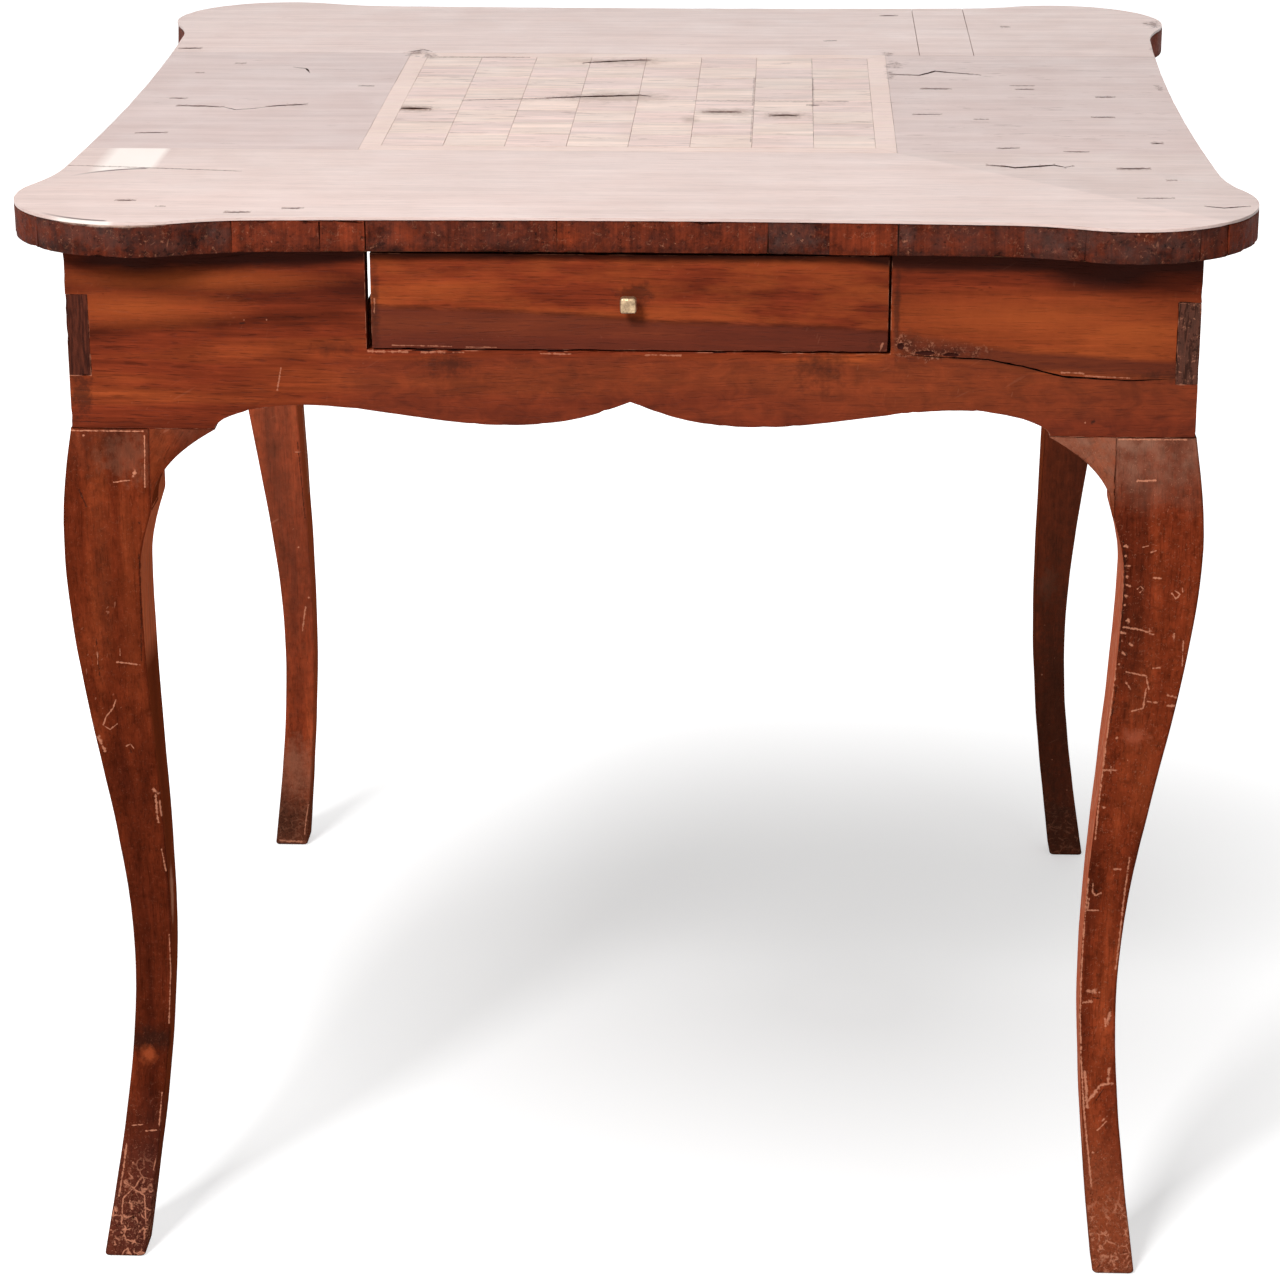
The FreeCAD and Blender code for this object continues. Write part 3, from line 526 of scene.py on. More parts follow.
def front_apron_marks(colours):
    """What the years did to the front apron: dark bands, dirt at the corners and a plugged knot, and the
    painted shadow under the top.
    """
    def add(place, tint):
        x, z = place.split()[::2]
        wavy = place.clouds(16.0) - 0.5
        # right of the drawer the board is purple-brown above the split and redder below it
        line = most((x - 0.181).scaled(-0.15, plus=0.7025), (x - 0.27).scaled(-0.045, plus=0.6892))
        depth = (line - z) + wavy * 0.008
        right = x.ramp(0.165, 0.185)
        above = depth.ramp(0.0, 0.004) * depth.ramp(0.02, 0.011)
        tint = blend(above * right * 0.78, tint, shade(82, 36, 26))
        # the low part of the board is browner and blotched, without clear streaks
        low_line = put("ShaderNodeMix", {0: right, 2: wavy.scaled(0.012, plus=0.684), 3: line - 0.013},
                       data_type="FLOAT")
        low = (low_line - z).ramp(0.0, 0.004) * x.ramp(-0.215, -0.175)
        burr = place.stretch(0.6, 1.0, 1.0).clouds(90.0, 4.0, 0.62, 0.7).ramp(0.33, 0.67)
        tint = blend(low * 0.72, tint, blend(burr, shade(86, 37, 25), shade(128, 54, 32)))
        # a dark band crosses the left end and rises to the right
        band = (x + 0.36).scaled(0.075, plus=0.6985) + wavy * 0.012
        near = abs(z - band).ramp(0.0075, 0.001)
        tint = darken(near * x.ramp(-0.175, -0.2), tint, 0.55)
        glow = front_patches(place, (
            (-0.335, 0.7145, 0.06, 0.011, 0.12, 1.0), (-0.3, 0.7345, 0.08, 0.0075, 0.12, 1.0),
            (0.27, 0.712, 0.11, 0.016, 0.12, 1.0), (0.33, 0.703, 0.05, 0.013, 0.12, 1.0)), 0.03)
        tint = blend(glow * 0.62, tint, scale_colour(colours.apron_light, 1.12))
        # dirt and broken wood at the drawer's corners and in the joints
        dirt_and_shade = front_patches(place, (
            (0.1835, 0.694, 0.008, 0.0075, 0.8, 1.0), (0.204, 0.6885, 0.026, 0.0046, 1.0, 0.8),
            (0.178, 0.712, 0.0022, 0.03, 0.5, 0.6), (0.35, 0.672, 0.02, 0.004, 0.8, 1.0),
            (0.371, 0.677, 0.006, 0.006, 0.8, 1.0), (-0.373, 0.655, 0.007, 0.018, 1.0, 0.6),
            (-0.20, 0.688, 0.012, 0.004, 0.8, 1.0), (-0.124, 0.677, 0.015, 0.006, 1.0, 1.0),
            (0.128, 0.675, 0.012, 0.012, 1.0, 1.0)))
        tint = blend(dirt_and_shade * 0.6, tint, colours.gap)
        broken = front_patches(place, (
            (0.202, 0.6895, 0.028, 0.0055, 1.0, 0.8), (0.181, 0.6945, 0.006, 0.007, 1.0, 0.8)))
        crumbs = most(use("flakes", place, size=0.0045)["Lines"],
                      use("crumble", place, size=0.0022, amount=1.0)["Pale"])
        tint = blend(crumbs * broken * 0.38, tint, colours.nick)
        pale = front_strokes(place, (
            (1.1, (-235.5, 674), (-237, 666), (-238.5, 658.5)), (1.0, (-259.3, 706.8)), (1.1, (-244, 707)),
            (1.5, (-176, 686.0), (-150, 685.7)), (2.2, (-140, 685.6), (-125, 685.7)),
            (1.0, (-119, 685.6), (-112, 685.7)), (1.1, (-60, 685.2), (-40, 685.0)),
            (1.2, (10, 684.8), (34, 684.8)),
            (1.4, (288.6, 675.2), (303.4, 674.6)), (0.9, (303.4, 672.9), (335.3, 671.6)),
            (1.1, (305.5, 640.5))))
        tint = blend(pale * 0.5, tint, colours.nick)
        hollow = front_strokes(place, ((3.2, (310.7, 641.1)), (1.0, (-259, 704.8), (-262, 704.5))))
        tint = blend(hollow * 0.8, tint, colours.gap)
        # painted shadow under the top's overhang, over all the marks
        return under_top_dirt(place, tint)
    return add


def drawer_marks(colours):
    """The drawer front's bright upper board and dark lower one, painted shade round the knob and along its
    left gap, dirt at a corner and the painted shadow under the top.
    """
    def add(place, tint):
        x, z = place.split()[::2]
        depth = (place.clouds(14.0) - 0.5).scaled(0.01, plus=x.scaled(-0.045, plus=0.7105)) - z
        below = depth.ramp(-0.001, 0.003)
        stretched = place.stretch(0.3, 1.0, 1.0)
        warm = stretched.clouds(60.0, 4.0, 0.6).ramp(0.4, 0.65)
        tint = scale_colour(tint, below.spread(1.22, 0.8))
        tint = blend(warm * below.spread(0.55, 0.0), tint, scale_colour(colours.apron_light, 0.95))
        tint = blend(below * 0.6, tint, shade(98, 46, 34))
        streak = abs(depth - 0.001).ramp(0.0028, 0.0004)
        ragged = stretched.clouds(90.0, 4.0, 0.65).ramp(0.42, 0.55)
        tint = darken(streak * ragged, tint, 0.62)
        # painted shade round the knob and in the gap along the drawer's left edge, dirt at its lower right
        # corner
        dirt_and_shade = front_patches(place, (
            (0.004, 0.727, 0.0105, 0.007, 0.7, 0.6), (-0.171, 0.715, 0.003, 0.03, 0.7, 0.8),
            (0.168, 0.692, 0.007, 0.004, 0.9, 0.6)))
        tint = blend(dirt_and_shade * 0.55, tint, colours.gap)
        pale = front_strokes(place, (
            (0.9, (-171, 722), (-171.5, 712)), (1.4, (169, 694), (167, 688.8)),
            (0.7, (-160, 690.2), (-120, 689.6)), (0.7, (-110, 689.4), (-90, 689.3))))
        tint = blend(pale * 0.45, tint, colours.nick)
        return under_top_dirt(place, tint)
    return add


def side_apron_marks(colours):
    """The side aprons' fingers show dark end grain on the front and back."""
    def add(place, tint):
        x, y = place.split()[:2]
        upright = place.stretch(1.0, 1.0, 0.12).clouds(700.0, 4.0).ramp(0.35, 0.65)
        end_grain = blend(upright, shade(52, 23, 16), shade(92, 44, 31))
        rough = use("crumble", place, size=0.0035, amount=0.8)
        right = x.ramp(-0.01, 0.01)
        end_grain = blend(rough["Pale"] * right * 0.5, end_grain, colours.nick)
        cracks = place.stretch(1.0, 1.0, 0.15).clouds(330.0, 3.0, 0.6).ramp(0.53, 0.6)
        cracks = most(rough["Dark"], cracks) * right
        end_grain = blend(right * 0.4, end_grain, shade(104, 72, 60))
        end_grain = blend(cracks * 0.85, end_grain, colours.gap)
        on_finger = abs(y).ramp(-APRON_FRONT - 0.003, -APRON_FRONT - 0.0015)
        return blend(on_finger, tint, end_grain)
    return add


def leg_finish(name, turn, shift, colours, marks=None, tone_and_light=1.0, rub=(0.0, 0.0), foot=0.5,
               crazed=0.2, bare_arris=0.2, foot_tone=(92, 56, 44), inner=None):
    """Polished walnut of a leg or bracket, pale where it is chipped.

    The tone scale multiplies the tones, and on the back legs it is painted light that lifts
    them out of the shade under the table; rub is how pale the part under the apron is and how
    far it reaches down; foot is how scratched the lowest part is; crazed is how broken the
    polish is and bare_arris how worn the arrises are. Inner is for a leg whose inner side is
    painted bright, as painted light and reflection: the way it faces, its tone and the height
    where that begins."""
    material, shader, place = new_material(name)
    wood = turned(place, turn, shift)
    grain = use("sawn_grain", wood, width=0.022, wander=0.02)
    tint = wood_colour(grain, colours.leg_dark, colours.leg_mid, colours.leg_light, 0.14, 0.1, 0.2)
    tint = scale_colour(tint, tone_and_light)
    tint = scale_colour(tint, wood.stretch(0.7, 1.0, 1.0).clouds(90.0, 5.0, 0.72).ramp(0.3, 0.7, 0.7, 1.28))
    tint = darken(mask_of("grime", place, amount=0.4), tint, 0.7)
    flaking = use("flakes", place, size=0.0045)
    tint = darken(flaking["Blots"] * (0.35 + 0.5 * crazed), tint, 0.6)
    z = place.split()[2]
    # painted light: the faces turned aside are painted warmer and brighter
    across = put("ShaderNodeTexCoord", {}, "Normal", place.tree).split()[0]
    tint = blend(abs(across).ramp(0.75, 0.95) * 0.6, tint, scale_colour(colours.leg_light, 1.2 * tone_and_light))
    if inner:
        # painted light and reflection on the inner side, from the given height up
        way, bright, start = inner
        facing = (across * way).ramp(0.75, 0.95, 0.0, 0.85) * z.ramp(start, start + 0.02)
        tint = blend(facing, tint, scale_colour(shade(*bright), grain["Streaks"].spread(0.8, 1.1)))
        flaked = place.stretch(1.0, 1.0, 0.4).clouds(260.0, 4.0, 0.65).ramp(0.5, 0.6)
        tint = blend(flaked * (facing * (crazed * 0.75)), tint, colours.nick)
    rubbed, down = rub
    if rubbed:
        ragged = place.clouds(45.0, 5.0, 0.65).scaled(0.05, plus=z)
        pale = ragged.ramp(APRON_BOTTOM + 0.022 - down, APRON_BOTTOM + 0.03)
        uneven = place.clouds(70.0, 4.0, 0.65).ramp(0.35, 0.6, 0.35, 1.0)
        tint = blend(pale * uneven * rubbed, tint, shade(150, 104, 84))
    low = place.clouds(30.0).scaled(0.06, plus=z).ramp(0.16, 0.07)
    rough = use("crumble", place, size=0.0026, amount=low * 0.8)
    fine = place.clouds(420.0, 4.0, 0.7).ramp(0.32, 0.68, 0.55, 1.35)
    tint = blend(low * 0.75, tint, scale_colour(shade(*foot_tone), fine))
    tint = darken(rough["Dark"] * 0.8, tint, 0.4)
    made = 0.0
    if marks:
        tint, made = marks(place, tint)
    worn = attribute(place, "wear") * place.stretch(1.0, 1.0, 0.35).clouds(130.0, 3.0, 0.6).ramp(0.42, 0.56)
    tint = blend(worn * bare_arris, tint, shade(196, 116, 84))
    scratch = mask_of("scratches", place, amount=0.3)
    lines = flaking["Lines"] * low.scaled(0.6 * foot, plus=0.45 * crazed)
    chips = rough["Pale"] * low * (0.6 * foot)
    chipped = place.clouds(330.0).scaled(0.6, plus=attribute(place, "nick")).ramp(0.6, 0.85)
    bare = most(scratch, chips, lines, chipped)
    tint = blend(most(bare, made) * 0.72, tint, colours.nick)
    gloss = place.clouds(35.0, 4.0).ramp(0.3, 0.7, 0.42, 0.6)
    finish_wood(shader, tint, gloss, grain["Relief"] - bare * 1.5, 0.00015, 0.0)
    return material


def banding_finish(name, colours, bright_end):
    """Cross-grain banding, crumbled and patched: each short piece has its own tone."""
    material, shader, place = new_material(name)
    brightness, greyness = attribute(place, "tone", "Color").split("ShaderNodeSeparateColor")[:2]
    x, y, z = place.split()
    grain = use("sawn_grain", turned(place, ALONG_Z), width=0.01, wander=0.01)
    rough = use("crumble", place, size=0.0042, amount=greyness.scaled(0.2, plus=0.45))
    flaking = use("flakes", place, size=0.012)
    front = y.ramp(-0.40, -0.41)
    glow = patches_on(place, (
        ((-0.187, -0.4355, 0.768), (0.006, 0.03, 0.007), 0.3, 0.8),
        ((-0.152, -0.4355, 0.766), (0.012, 0.03, 0.008), 0.4, 0.8),
        ((-0.0385, -0.4355, 0.768), (0.008, 0.03, 0.009), 0.3, 0.8)))
    dull = patches_on(place, (
        ((-0.272, -0.46, 0.770), (0.010, 0.05, 0.010), 0.6, 0.6),
        ((0.106, -0.4355, 0.768), (0.022, 0.03, 0.010), 0.6, 0.6),
        ((0.183, -0.4355, 0.769), (0.007, 0.03, 0.010), 0.4, 0.4),
        ((0.280, -0.46, 0.770), (0.018, 0.05, 0.010), 0.6, 0.6),
        ((-0.41, -0.44, 0.770), (0.020, 0.05, 0.020), 0.6, 0.6)))
    mottle = place.clouds(70.0, 5.0, 0.72).ramp(0.33, 0.67)
    mixed = rough["Tone"].scaled(0.3, plus=mottle * 0.5)
    bright = maths("ADD", brightness.scaled(0.75, plus=-0.3), mixed, clamp=True)
    bright = maths("MULTIPLY_ADD", glow * front, 0.6, bright, clamp=True)
    tint = blend(bright, colours.banding_dark, colours.banding_light)
    tint = scale_colour(tint, grain["Streaks"].spread(0.68, 1.15))
    tint = scale_colour(tint, grain["Fibres"].spread(0.8, 1.1))
    tint = darken(flaking["Blots"] * (1.0 - bright * 0.6), tint, 0.42)
    grey = greyness * place.clouds(60.0, 4.0, 0.6).ramp(0.38, 0.6)
    tint = blend(most(grey, dull * front) * 0.6, tint, shade(86, 62, 56))
    tint = darken(rough["Dark"], tint, 0.4)
    scratch = mask_of("scratches", place, amount=0.6)
    bare = most(scratch, rough["Pale"], flaking["Lines"] * 0.45)
    tint = blend(bare * 0.32, tint, colours.nick)
    # painted shade just under the top's edge and darker along the lower arris, a dark joint beside the
    # bright piece
    edge = most(z.ramp(TOP - 0.0034, TOP - 0.0022), z.ramp(0.7625, 0.7595))
    edge = edge * place.clouds(60.0, 4.0, 0.65).ramp(0.35, 0.55)
    tint = darken(edge, tint, 0.6)
    joint = abs(x - bright_end).ramp(0.0009, 0.0004)
    tint = blend(joint * front, tint, colours.gap)
    # pale lines along the upper arris of the front lobes: worn polish and a painted highlight
    lobe = patches_on(place, (
        ((-0.345, -0.455, TOP), (0.055, 0.05, 0.0036), 0.12, 0.3),
        ((-0.24, -0.435, TOP), (0.05, 0.03, 0.0014), 0.5, 0.4),
        ((0.40, -0.42, TOP), (0.03, 0.06, 0.0016), 0.6, 0.4)))
    tint = blend(lobe * 0.85, tint, shade(226, 190, 172))
    relief = rough["Tone"] - (bare + flaking["Blots"])
    finish_wood(shader, tint, mottle.spread(0.5, 0.7), relief, 0.0004, 0.05)
    return material


def veneer_finish(name, colours, dark, light, width, greyness=0.0, marks=None, shift=(0.0, 0.0, 0.0),
                  streak=0.05, dashes=0.15):
    """Pale veneer of the top with a satin gloss; its pale tones are partly painted sheen, the bright
    surroundings that the polished top reflects.
    """
    material, shader, place = new_material(name)
    grain = use("sawn_grain", turned(place, ALONG_X, shift), width=width, wander=0.012)
    mid = tuple((low + high) / 2 for low, high in zip(dark, light))
    tint = wood_colour(grain, dark, mid, light, streak, 0.03, 0.1)
    tint = scale_colour(tint, attribute(place, "tone") + 1.0)
    tint = scale_colour(tint, place.clouds(6.0).ramp(0.3, 0.7, 0.96, 1.04))
    if greyness:
        tint = blend(greyness, tint, shade(188, 164, 162))
    stains = use("crumble", place.stretch(0.18, 1.0, 1.0), size=0.006, amount=dashes)
    tint = blend(stains["Dark"] * 0.55, tint, shade(148, 112, 102))
    if marks:
        tint = marks(place, tint)
    # bruised wood at the board's two back corners and along the right edge
    bruise = top_patches(place, (
        (-0.200, 0.190, 0.008, 0.014, 1.0, 0.5), (-0.188, 0.178, 0.005, 0.010, 1.0, 0.5),
        (0.184, 0.196, 0.004, 0.008, 1.0, 0.5), (0.188, 0.146, 0.006, 0.014, 1.0, 0.5),
        (0.184, 0.105, 0.003, 0.020, 1.0, 0.6), (0.412, 0.340, 0.006, 0.016, 0.9, 0.4),
        (0.405, 0.219, 0.005, 0.018, 0.9, 0.4), (0.406, 0.174, 0.005, 0.016, 0.9, 0.4),
        (0.391, 0.054, 0.003, 0.010, 0.9, 0.4)))
    crumbs = use("crumble", place.stretch(1.0, 0.4, 1.0), size=0.005, amount=0.9)
    bruise = bruise * crumbs["Tone"].ramp(0.35, 0.65, 0.25, 0.85)
    tint = blend(bruise, tint, shade(112, 66, 48))
    broken = place.clouds(30.0).ramp(0.42, 0.62, 0.0, 0.4)
    tint = blend(attribute(place, "wear") * broken, tint, shade(132, 88, 72))
    gloss = place.clouds(25.0, 4.0).ramp(0.3, 0.7, 0.3, 0.42)
    finish_wood(shader, tint, gloss, grain["Relief"], 0.00008, 0.12, 0.05)
    return material


def crack_stains(rows, before=None):
    """Brown wood round the cracks of a field, given as rows of (width, (x, y), ...) in millimetres."""
    def add(place, tint):
        if before:
            tint = before(place, tint)
        mask = strokes_on(place, [
            (width * 0.62 * MILLIMETRE, *((x * MILLIMETRE, y * MILLIMETRE, TOP) for x, y in places))
            for width, *places in rows])
        return blend(mask * 0.7, tint, shade(124, 78, 58))
    return add


def plain_wood(name, turn, tone, base):
    """Unpolished wood: the drawer box, runners and underside, and where a bit is broken out."""
    material, shader, place = new_material(name)
    grain = use("sawn_grain", turned(place, turn), width=0.014, wander=0.02)
    tint = wood_colour(grain, *(scale_colour(base, part * tone) for part in (0.5, 1.0, 1.25)))
    tint = darken(mask_of("grime", place, amount=0.6), tint, 0.6)
    finish_wood(shader, tint, 0.75, grain["Relief"], 0.0002)
    return material


def gap_finish(colours):
    """Old dirt at the bottom of cracks."""
    material, shader, place = new_material("crack_dirt")
    spots = place.clouds(300.0).ramp(0.3, 0.7, 0.6, 1.4)
    finish_wood(shader, scale_colour(colours.gap, spots), 0.9, spots, 0.0002, 0.0)
    return material


def brass_finish(colours):
    """Dulled brass with darker hollows."""
    material, shader, place = new_material("dull_brass")
    stain = place.clouds(260.0, 4.0, 0.6).ramp(0.35, 0.7)
    bump = put("ShaderNodeBump", {"Strength": 0.6, "Distance": 0.0002, "Height": stain})
    set_inputs(shader, {"Base Color": blend(stain, colours.brass, shade(122, 102, 80)),
                        "Roughness": stain.spread(0.32, 0.6), "Metallic": 0.85, "Normal": bump})
    return material


# ------------------------------------------------------------------ mesh helpers

def welded(node, inwards=None, gap=0.00008):
    """A welded copy of a CAD node's mesh, its flat faces joined again.

    Solids that touch are first drawn in by the gap: inwards gives the way into the
    solid for a point of it and a point just inside its face."""
    mesh = bmesh.new()
    mesh.from_mesh(frame["nodes"][node].data)
    if inwards:
        for vert in mesh.verts:
            face = vert.link_faces[0]
            inside = face.calc_center_median() - face.normal * 0.0003
            vert.co += inwards(vert.co, inside).normalized() * gap
    bmesh.ops.remove_doubles(mesh, verts=mesh.verts, dist=1e-6)
    bmesh.ops.dissolve_limit(mesh, angle_limit=math.radians(0.05), verts=mesh.verts, edges=mesh.edges)
    return mesh


def from_joints(node, axis):
    """For welded(): the way along an axis from the nearer joints of a jointed node."""
    data = frame["nodes"][node].data
    low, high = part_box(node)
    places = sorted({round(data.vertices[face.vertices[0]].co[axis], 5) for face in data.polygons
                     if abs(face.normal[axis]) > 0.99999})
    joints = [low[axis] - MILLIMETRE] + places + [high[axis] + MILLIMETRE]

    def inwards(point, inside):
        place = bisect.bisect(joints, inside[axis])
        way = Vector()
        way[axis] = (joints[place - 1] + joints[place]) / 2 - point[axis]
        return way
    return inwards


def sharp_edges(mesh, angle=30.0):
    return [edge for edge in mesh.edges
            if len(edge.link_faces) == 2 and edge.calc_face_angle() > math.radians(angle)]


# the choices that every rounding shares
BEVEL = {"offset_type": "OFFSET", "affect": "EDGES", "profile": 0.5, "material": -1, "clamp_overlap": True}


def wear_arrises(mesh, rounding, step, chip, seed=0.0, chosen=None):
    """Divides the sharp edges, rounds them and nibbles the rounding here and there."""
    def arrises():
        return [edge for edge in sharp_edges(mesh) if chosen is None or chosen(edge)]

    wear = mesh.loops.layers.float.new("wear")
    by_cuts = {}
    for edge in arrises():
        by_cuts.setdefault(min(int(edge.calc_length() / step), 400), []).append(edge)
    for cuts, edges in by_cuts.items():
        if cuts:
            bmesh.ops.bisect_edges(mesh, edges=edges, cuts=cuts)
    made = bmesh.ops.bevel(mesh, geom=arrises(), offset=rounding, segments=2, **BEVEL)
    mesh.normal_update()
    for face in made["faces"]:
        for loop in face.loops:
            loop[wear] = 1.0
    for vert in made["verts"]:
        amount = noise.noise(vert.co * 90 + Vector((seed, 0, 0))) + 0.6 * noise.noise(vert.co * 260)
        vert.co -= vert.normal * chip * max(0.0, amount - 0.15) * 2


def as_object(name, mesh, materials):
    data = bpy.data.meshes.new(name)
    mesh.to_mesh(data)
    mesh.free()
    for material in materials:
        data.materials.append(material)
    thing = bpy.data.objects.new(name, data)
    bpy.context.scene.collection.objects.link(thing)
    return thing


def worn_object(node, materials, rounding, step, chip, seed=0.0, mesh=None, chosen=None):
    """A CAD node's mesh, or the one given for it, with its arrises worn."""
    if mesh is None:
        mesh = welded(node)
    wear_arrises(mesh, rounding, step, CHIP[chip], seed, chosen)
    return as_object(node + "_worn", mesh, materials)


def finish_piece(piece, node):
    """Smooth shading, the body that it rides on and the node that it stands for."""
    piece.data.shade_smooth()
    piece.data.set_sharp_from_angle(angle=math.radians(42))
    weighted = piece.modifiers.new("even_shading", "WEIGHTED_NORMAL")
    weighted.keep_sharp = True
    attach(piece, frame["nodes"][node]["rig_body"])
    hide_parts(node)


def carve(piece, cutters):
    """Takes the cutters out of a piece; the cut faces keep the cutters' material."""
    tool = as_object("cutters", cutters, [piece.data.materials[-1]])
    change = piece.modifiers.new("cut", "BOOLEAN")
    change.operation = "DIFFERENCE"
    change.solver = "EXACT"
    change.object = tool
    change.material_mode = "TRANSFER"
    change.use_self = True
    bpy.context.view_layer.update()
    found = piece.evaluated_get(bpy.context.evaluated_depsgraph_get())
    cut_mesh = bpy.data.meshes.new_from_object(found)
    piece.modifiers.clear()
    piece.data = cut_mesh
    bpy.data.objects.remove(tool)


def slit(mesh, places, width, lift, sink, seed=0.0):
    """A ragged sliver along the places, pointed at both ends, from lift down to sink.

    The places are vectors; lift and sink are vectors that move the sliver's outline
    out of the surface and into the wood."""
    path = [places[0]]
    for start, end in zip(places, places[1:]):
        count = max(1, int((end - start).length / 0.004))
        path += [start.lerp(end, number / count) for number in range(1, count + 1)]
    into = (sink - lift).normalized()
    low, high = [], []
    for number, point in enumerate(path):
        before, after = path[max(number - 1, 0)], path[min(number + 1, len(path) - 1)]
        across = (after - before).cross(into).normalized()
        part = number / (len(path) - 1)
        half = width / 2 * (0.12 + math.sin(math.pi * part) ** 0.6)
        ragged = point * 400 + Vector((seed, 0, 0))
        low.append(point - across * half * (1 + 0.7 * noise.noise(ragged)))
        high.append(point + across * half * (1 + 0.7 * noise.noise(ragged + Vector((9, 9, 9)))))
    outline = [mesh.verts.new(point + lift) for point in low + high[::-1]]
    face = mesh.faces.new(outline)
    grown = bmesh.ops.extrude_face_region(mesh, geom=[face])
    moved = [item for item in grown["geom"] if isinstance(item, bmesh.types.BMVert)]
    bmesh.ops.translate(mesh, verts=moved, vec=sink - lift)
    bmesh.ops.recalc_face_normals(mesh, faces=mesh.faces)


def lump(mesh, centre, reach, seed):
    """A ragged rounded lump, used to break a bit out of an arris."""
    made = bmesh.ops.create_icosphere(mesh, subdivisions=2, radius=1.0)
    for vert in made["verts"]:
        vert.co *= 1 + 0.35 * noise.noise(vert.co * 1.7 + Vector((seed, seed, 0)))
        vert.co = Vector(centre) + Vector(a * b for a, b in zip(vert.co, reach))


# ------------------------------------------------------------------ operators

def settings():
    scene = bpy.context.scene
    return scene.chess_table_sizes, scene.chess_table_colours


def plain_piece(node, turn, tone, seed):
    """A board of unpolished wood, worn a little along its arrises."""
    sizes, colours = settings()
    finish = plain_wood(node + "_finish", turn, tone, colours.inner_wood)
    finish_piece(worn_object(node, [finish], sizes.board_rounding, WIDE_STEP, "plain", seed), node)


# cracks and gouges of the top, millimetres: the widest gap, then the places along each
TOP_CRACKS = {
    "veneer_left_panel": (
        (2.8, (-360, -37), (-338, -39), (-324, -41)),
        (1.2, (-326, -40), (-313, -52), (-299, -46), (-291, -40)),
        (3.2, (-292, -39), (-277, -33), (-262, -29)), (1.5, (-367, 98), (-360, 98)),
        (2.5, (-341, 140), (-333, 140)), (2.0, (-370, -8), (-357, -8)), (1.8, (-374, -141), (-351, -139)),
        (1.6, (-231, 46), (-219, 46)), (1.4, (-292, 124), (-281, 118), (-276, 100)),
    ),
    "veneer_right_panel": (
        (3.0, (184, 107), (207, 103), (220, 121), (228, 117), (255, 106)), (2.4, (206, 47), (230, 47)),
        (1.8, (279, 47), (294, 47)), (2.4, (339, 16), (354, 17)), (2.0, (330, -62), (347, -62)),
        (1.6, (197, -55), (219, -54)), (1.5, (242, -72), (253, -72)), (3.0, (366, -157), (374, -157)),
        (1.8, (254, -178), (270, -177)), (1.6, (301, -189), (319, -189)), (1.2, (276, 61), (295, 61)),
    ),
    "veneer_front_strip": (
        (0.9, (-402, -256), (-350, -262), (-277, -272)), (2.0, (-349, -367), (-335, -367)),
        (2.2, (-270, -402), (-253, -401)), (1.8, (-233, -389), (-219, -388)),
        (1.4, (-319, -385), (-312, -385)),
        (3.4, (244, -237), (256, -240), (263, -245), (281, -239), (291, -235), (298, -242), (304, -238)),
        (2.6, (334, -246), (357, -245)), (2.2, (365, -283), (372, -282)), (1.2, (340, -340), (365, -340)),
        (2.0, (383, -364), (395, -369), (413, -363)),
    ),
    "veneer_back_strip": (
        (2.4, (182, 379), (197, 380)), (2.0, (133, 254), (143, 256)), (3.4, (283, 327), (290, 327)),
        (3.0, (-397, 206), (-379, 207)), (1.6, (-205, 196), (-195, 205), (-188, 197)),
    ),
}

BOARD_CRACKS = (
    (5.0, (-191, -43), (-166, -43)), (1.4, (-146, -10), (-76, 0)),
    (4.4, (-82, 1), (-46, 8), (-10, 14), (-2, 10)), (1.3, (-192, 171), (-150, 172), (-106, 173)),
    (4.0, (-61, 150), (-16, 163), (-8, 163)), (3.4, (40, -51), (68, -50)), (4.2, (90, -62), (112, -62)),
    (2.0, (118, -22), (127, -22)), (2.6, (168, 190), (176, 183), (181, 172)),
)


def top_slits(rows, depth, seed):
    cutters = bmesh.new()
    lift = Vector((0, 0, MILLIMETRE))
    sink = Vector((0, 0, -depth))
    for number, (width, *places) in enumerate(rows):
        points = [Vector((x * MILLIMETRE, y * MILLIMETRE, TOP)) for x, y in places]
        slit(cutters, points, width * MILLIMETRE, lift, sink, seed + 3.7 * number)
    return cutters


def front_marks(place, tint):
    """The front strip darker beyond a diagonal at its right end, and the lifted lip of its left lobe
    painted on the flat veneer.
    """
    x, y = place.split()[:2]
    beyond = (y - (x - 0.184).scaled(-1.0, plus=-0.2)).ramp(-0.002, 0.004)
    tint = darken(beyond * 0.7, tint, 0.85)
    # a lifted lip along the left lobe, painted on the flat veneer: a painted highlight on its edge and the
    # dark open line behind it
    ring = place.stretch(1.0, 1.0, 0.0).vector("DISTANCE", LOBE_MIDDLE, out=1)
    lip = x.ramp(-0.385, -0.375) * x.ramp(-0.338, -0.343)
    lip = lip * ring.ramp(LOBE_RADIUS - 0.0032, LOBE_RADIUS - 0.0024)
    tint = blend(lip, tint, shade(252, 238, 230))
    line = x.ramp(-0.394, -0.370, 0.0, 0.9) * x.ramp(-0.343, -0.346)
    line = line * abs(ring - (LOBE_RADIUS - 0.0045)).ramp(0.0021, 0.0013)
    return blend(line, tint, shade(78, 46, 38))


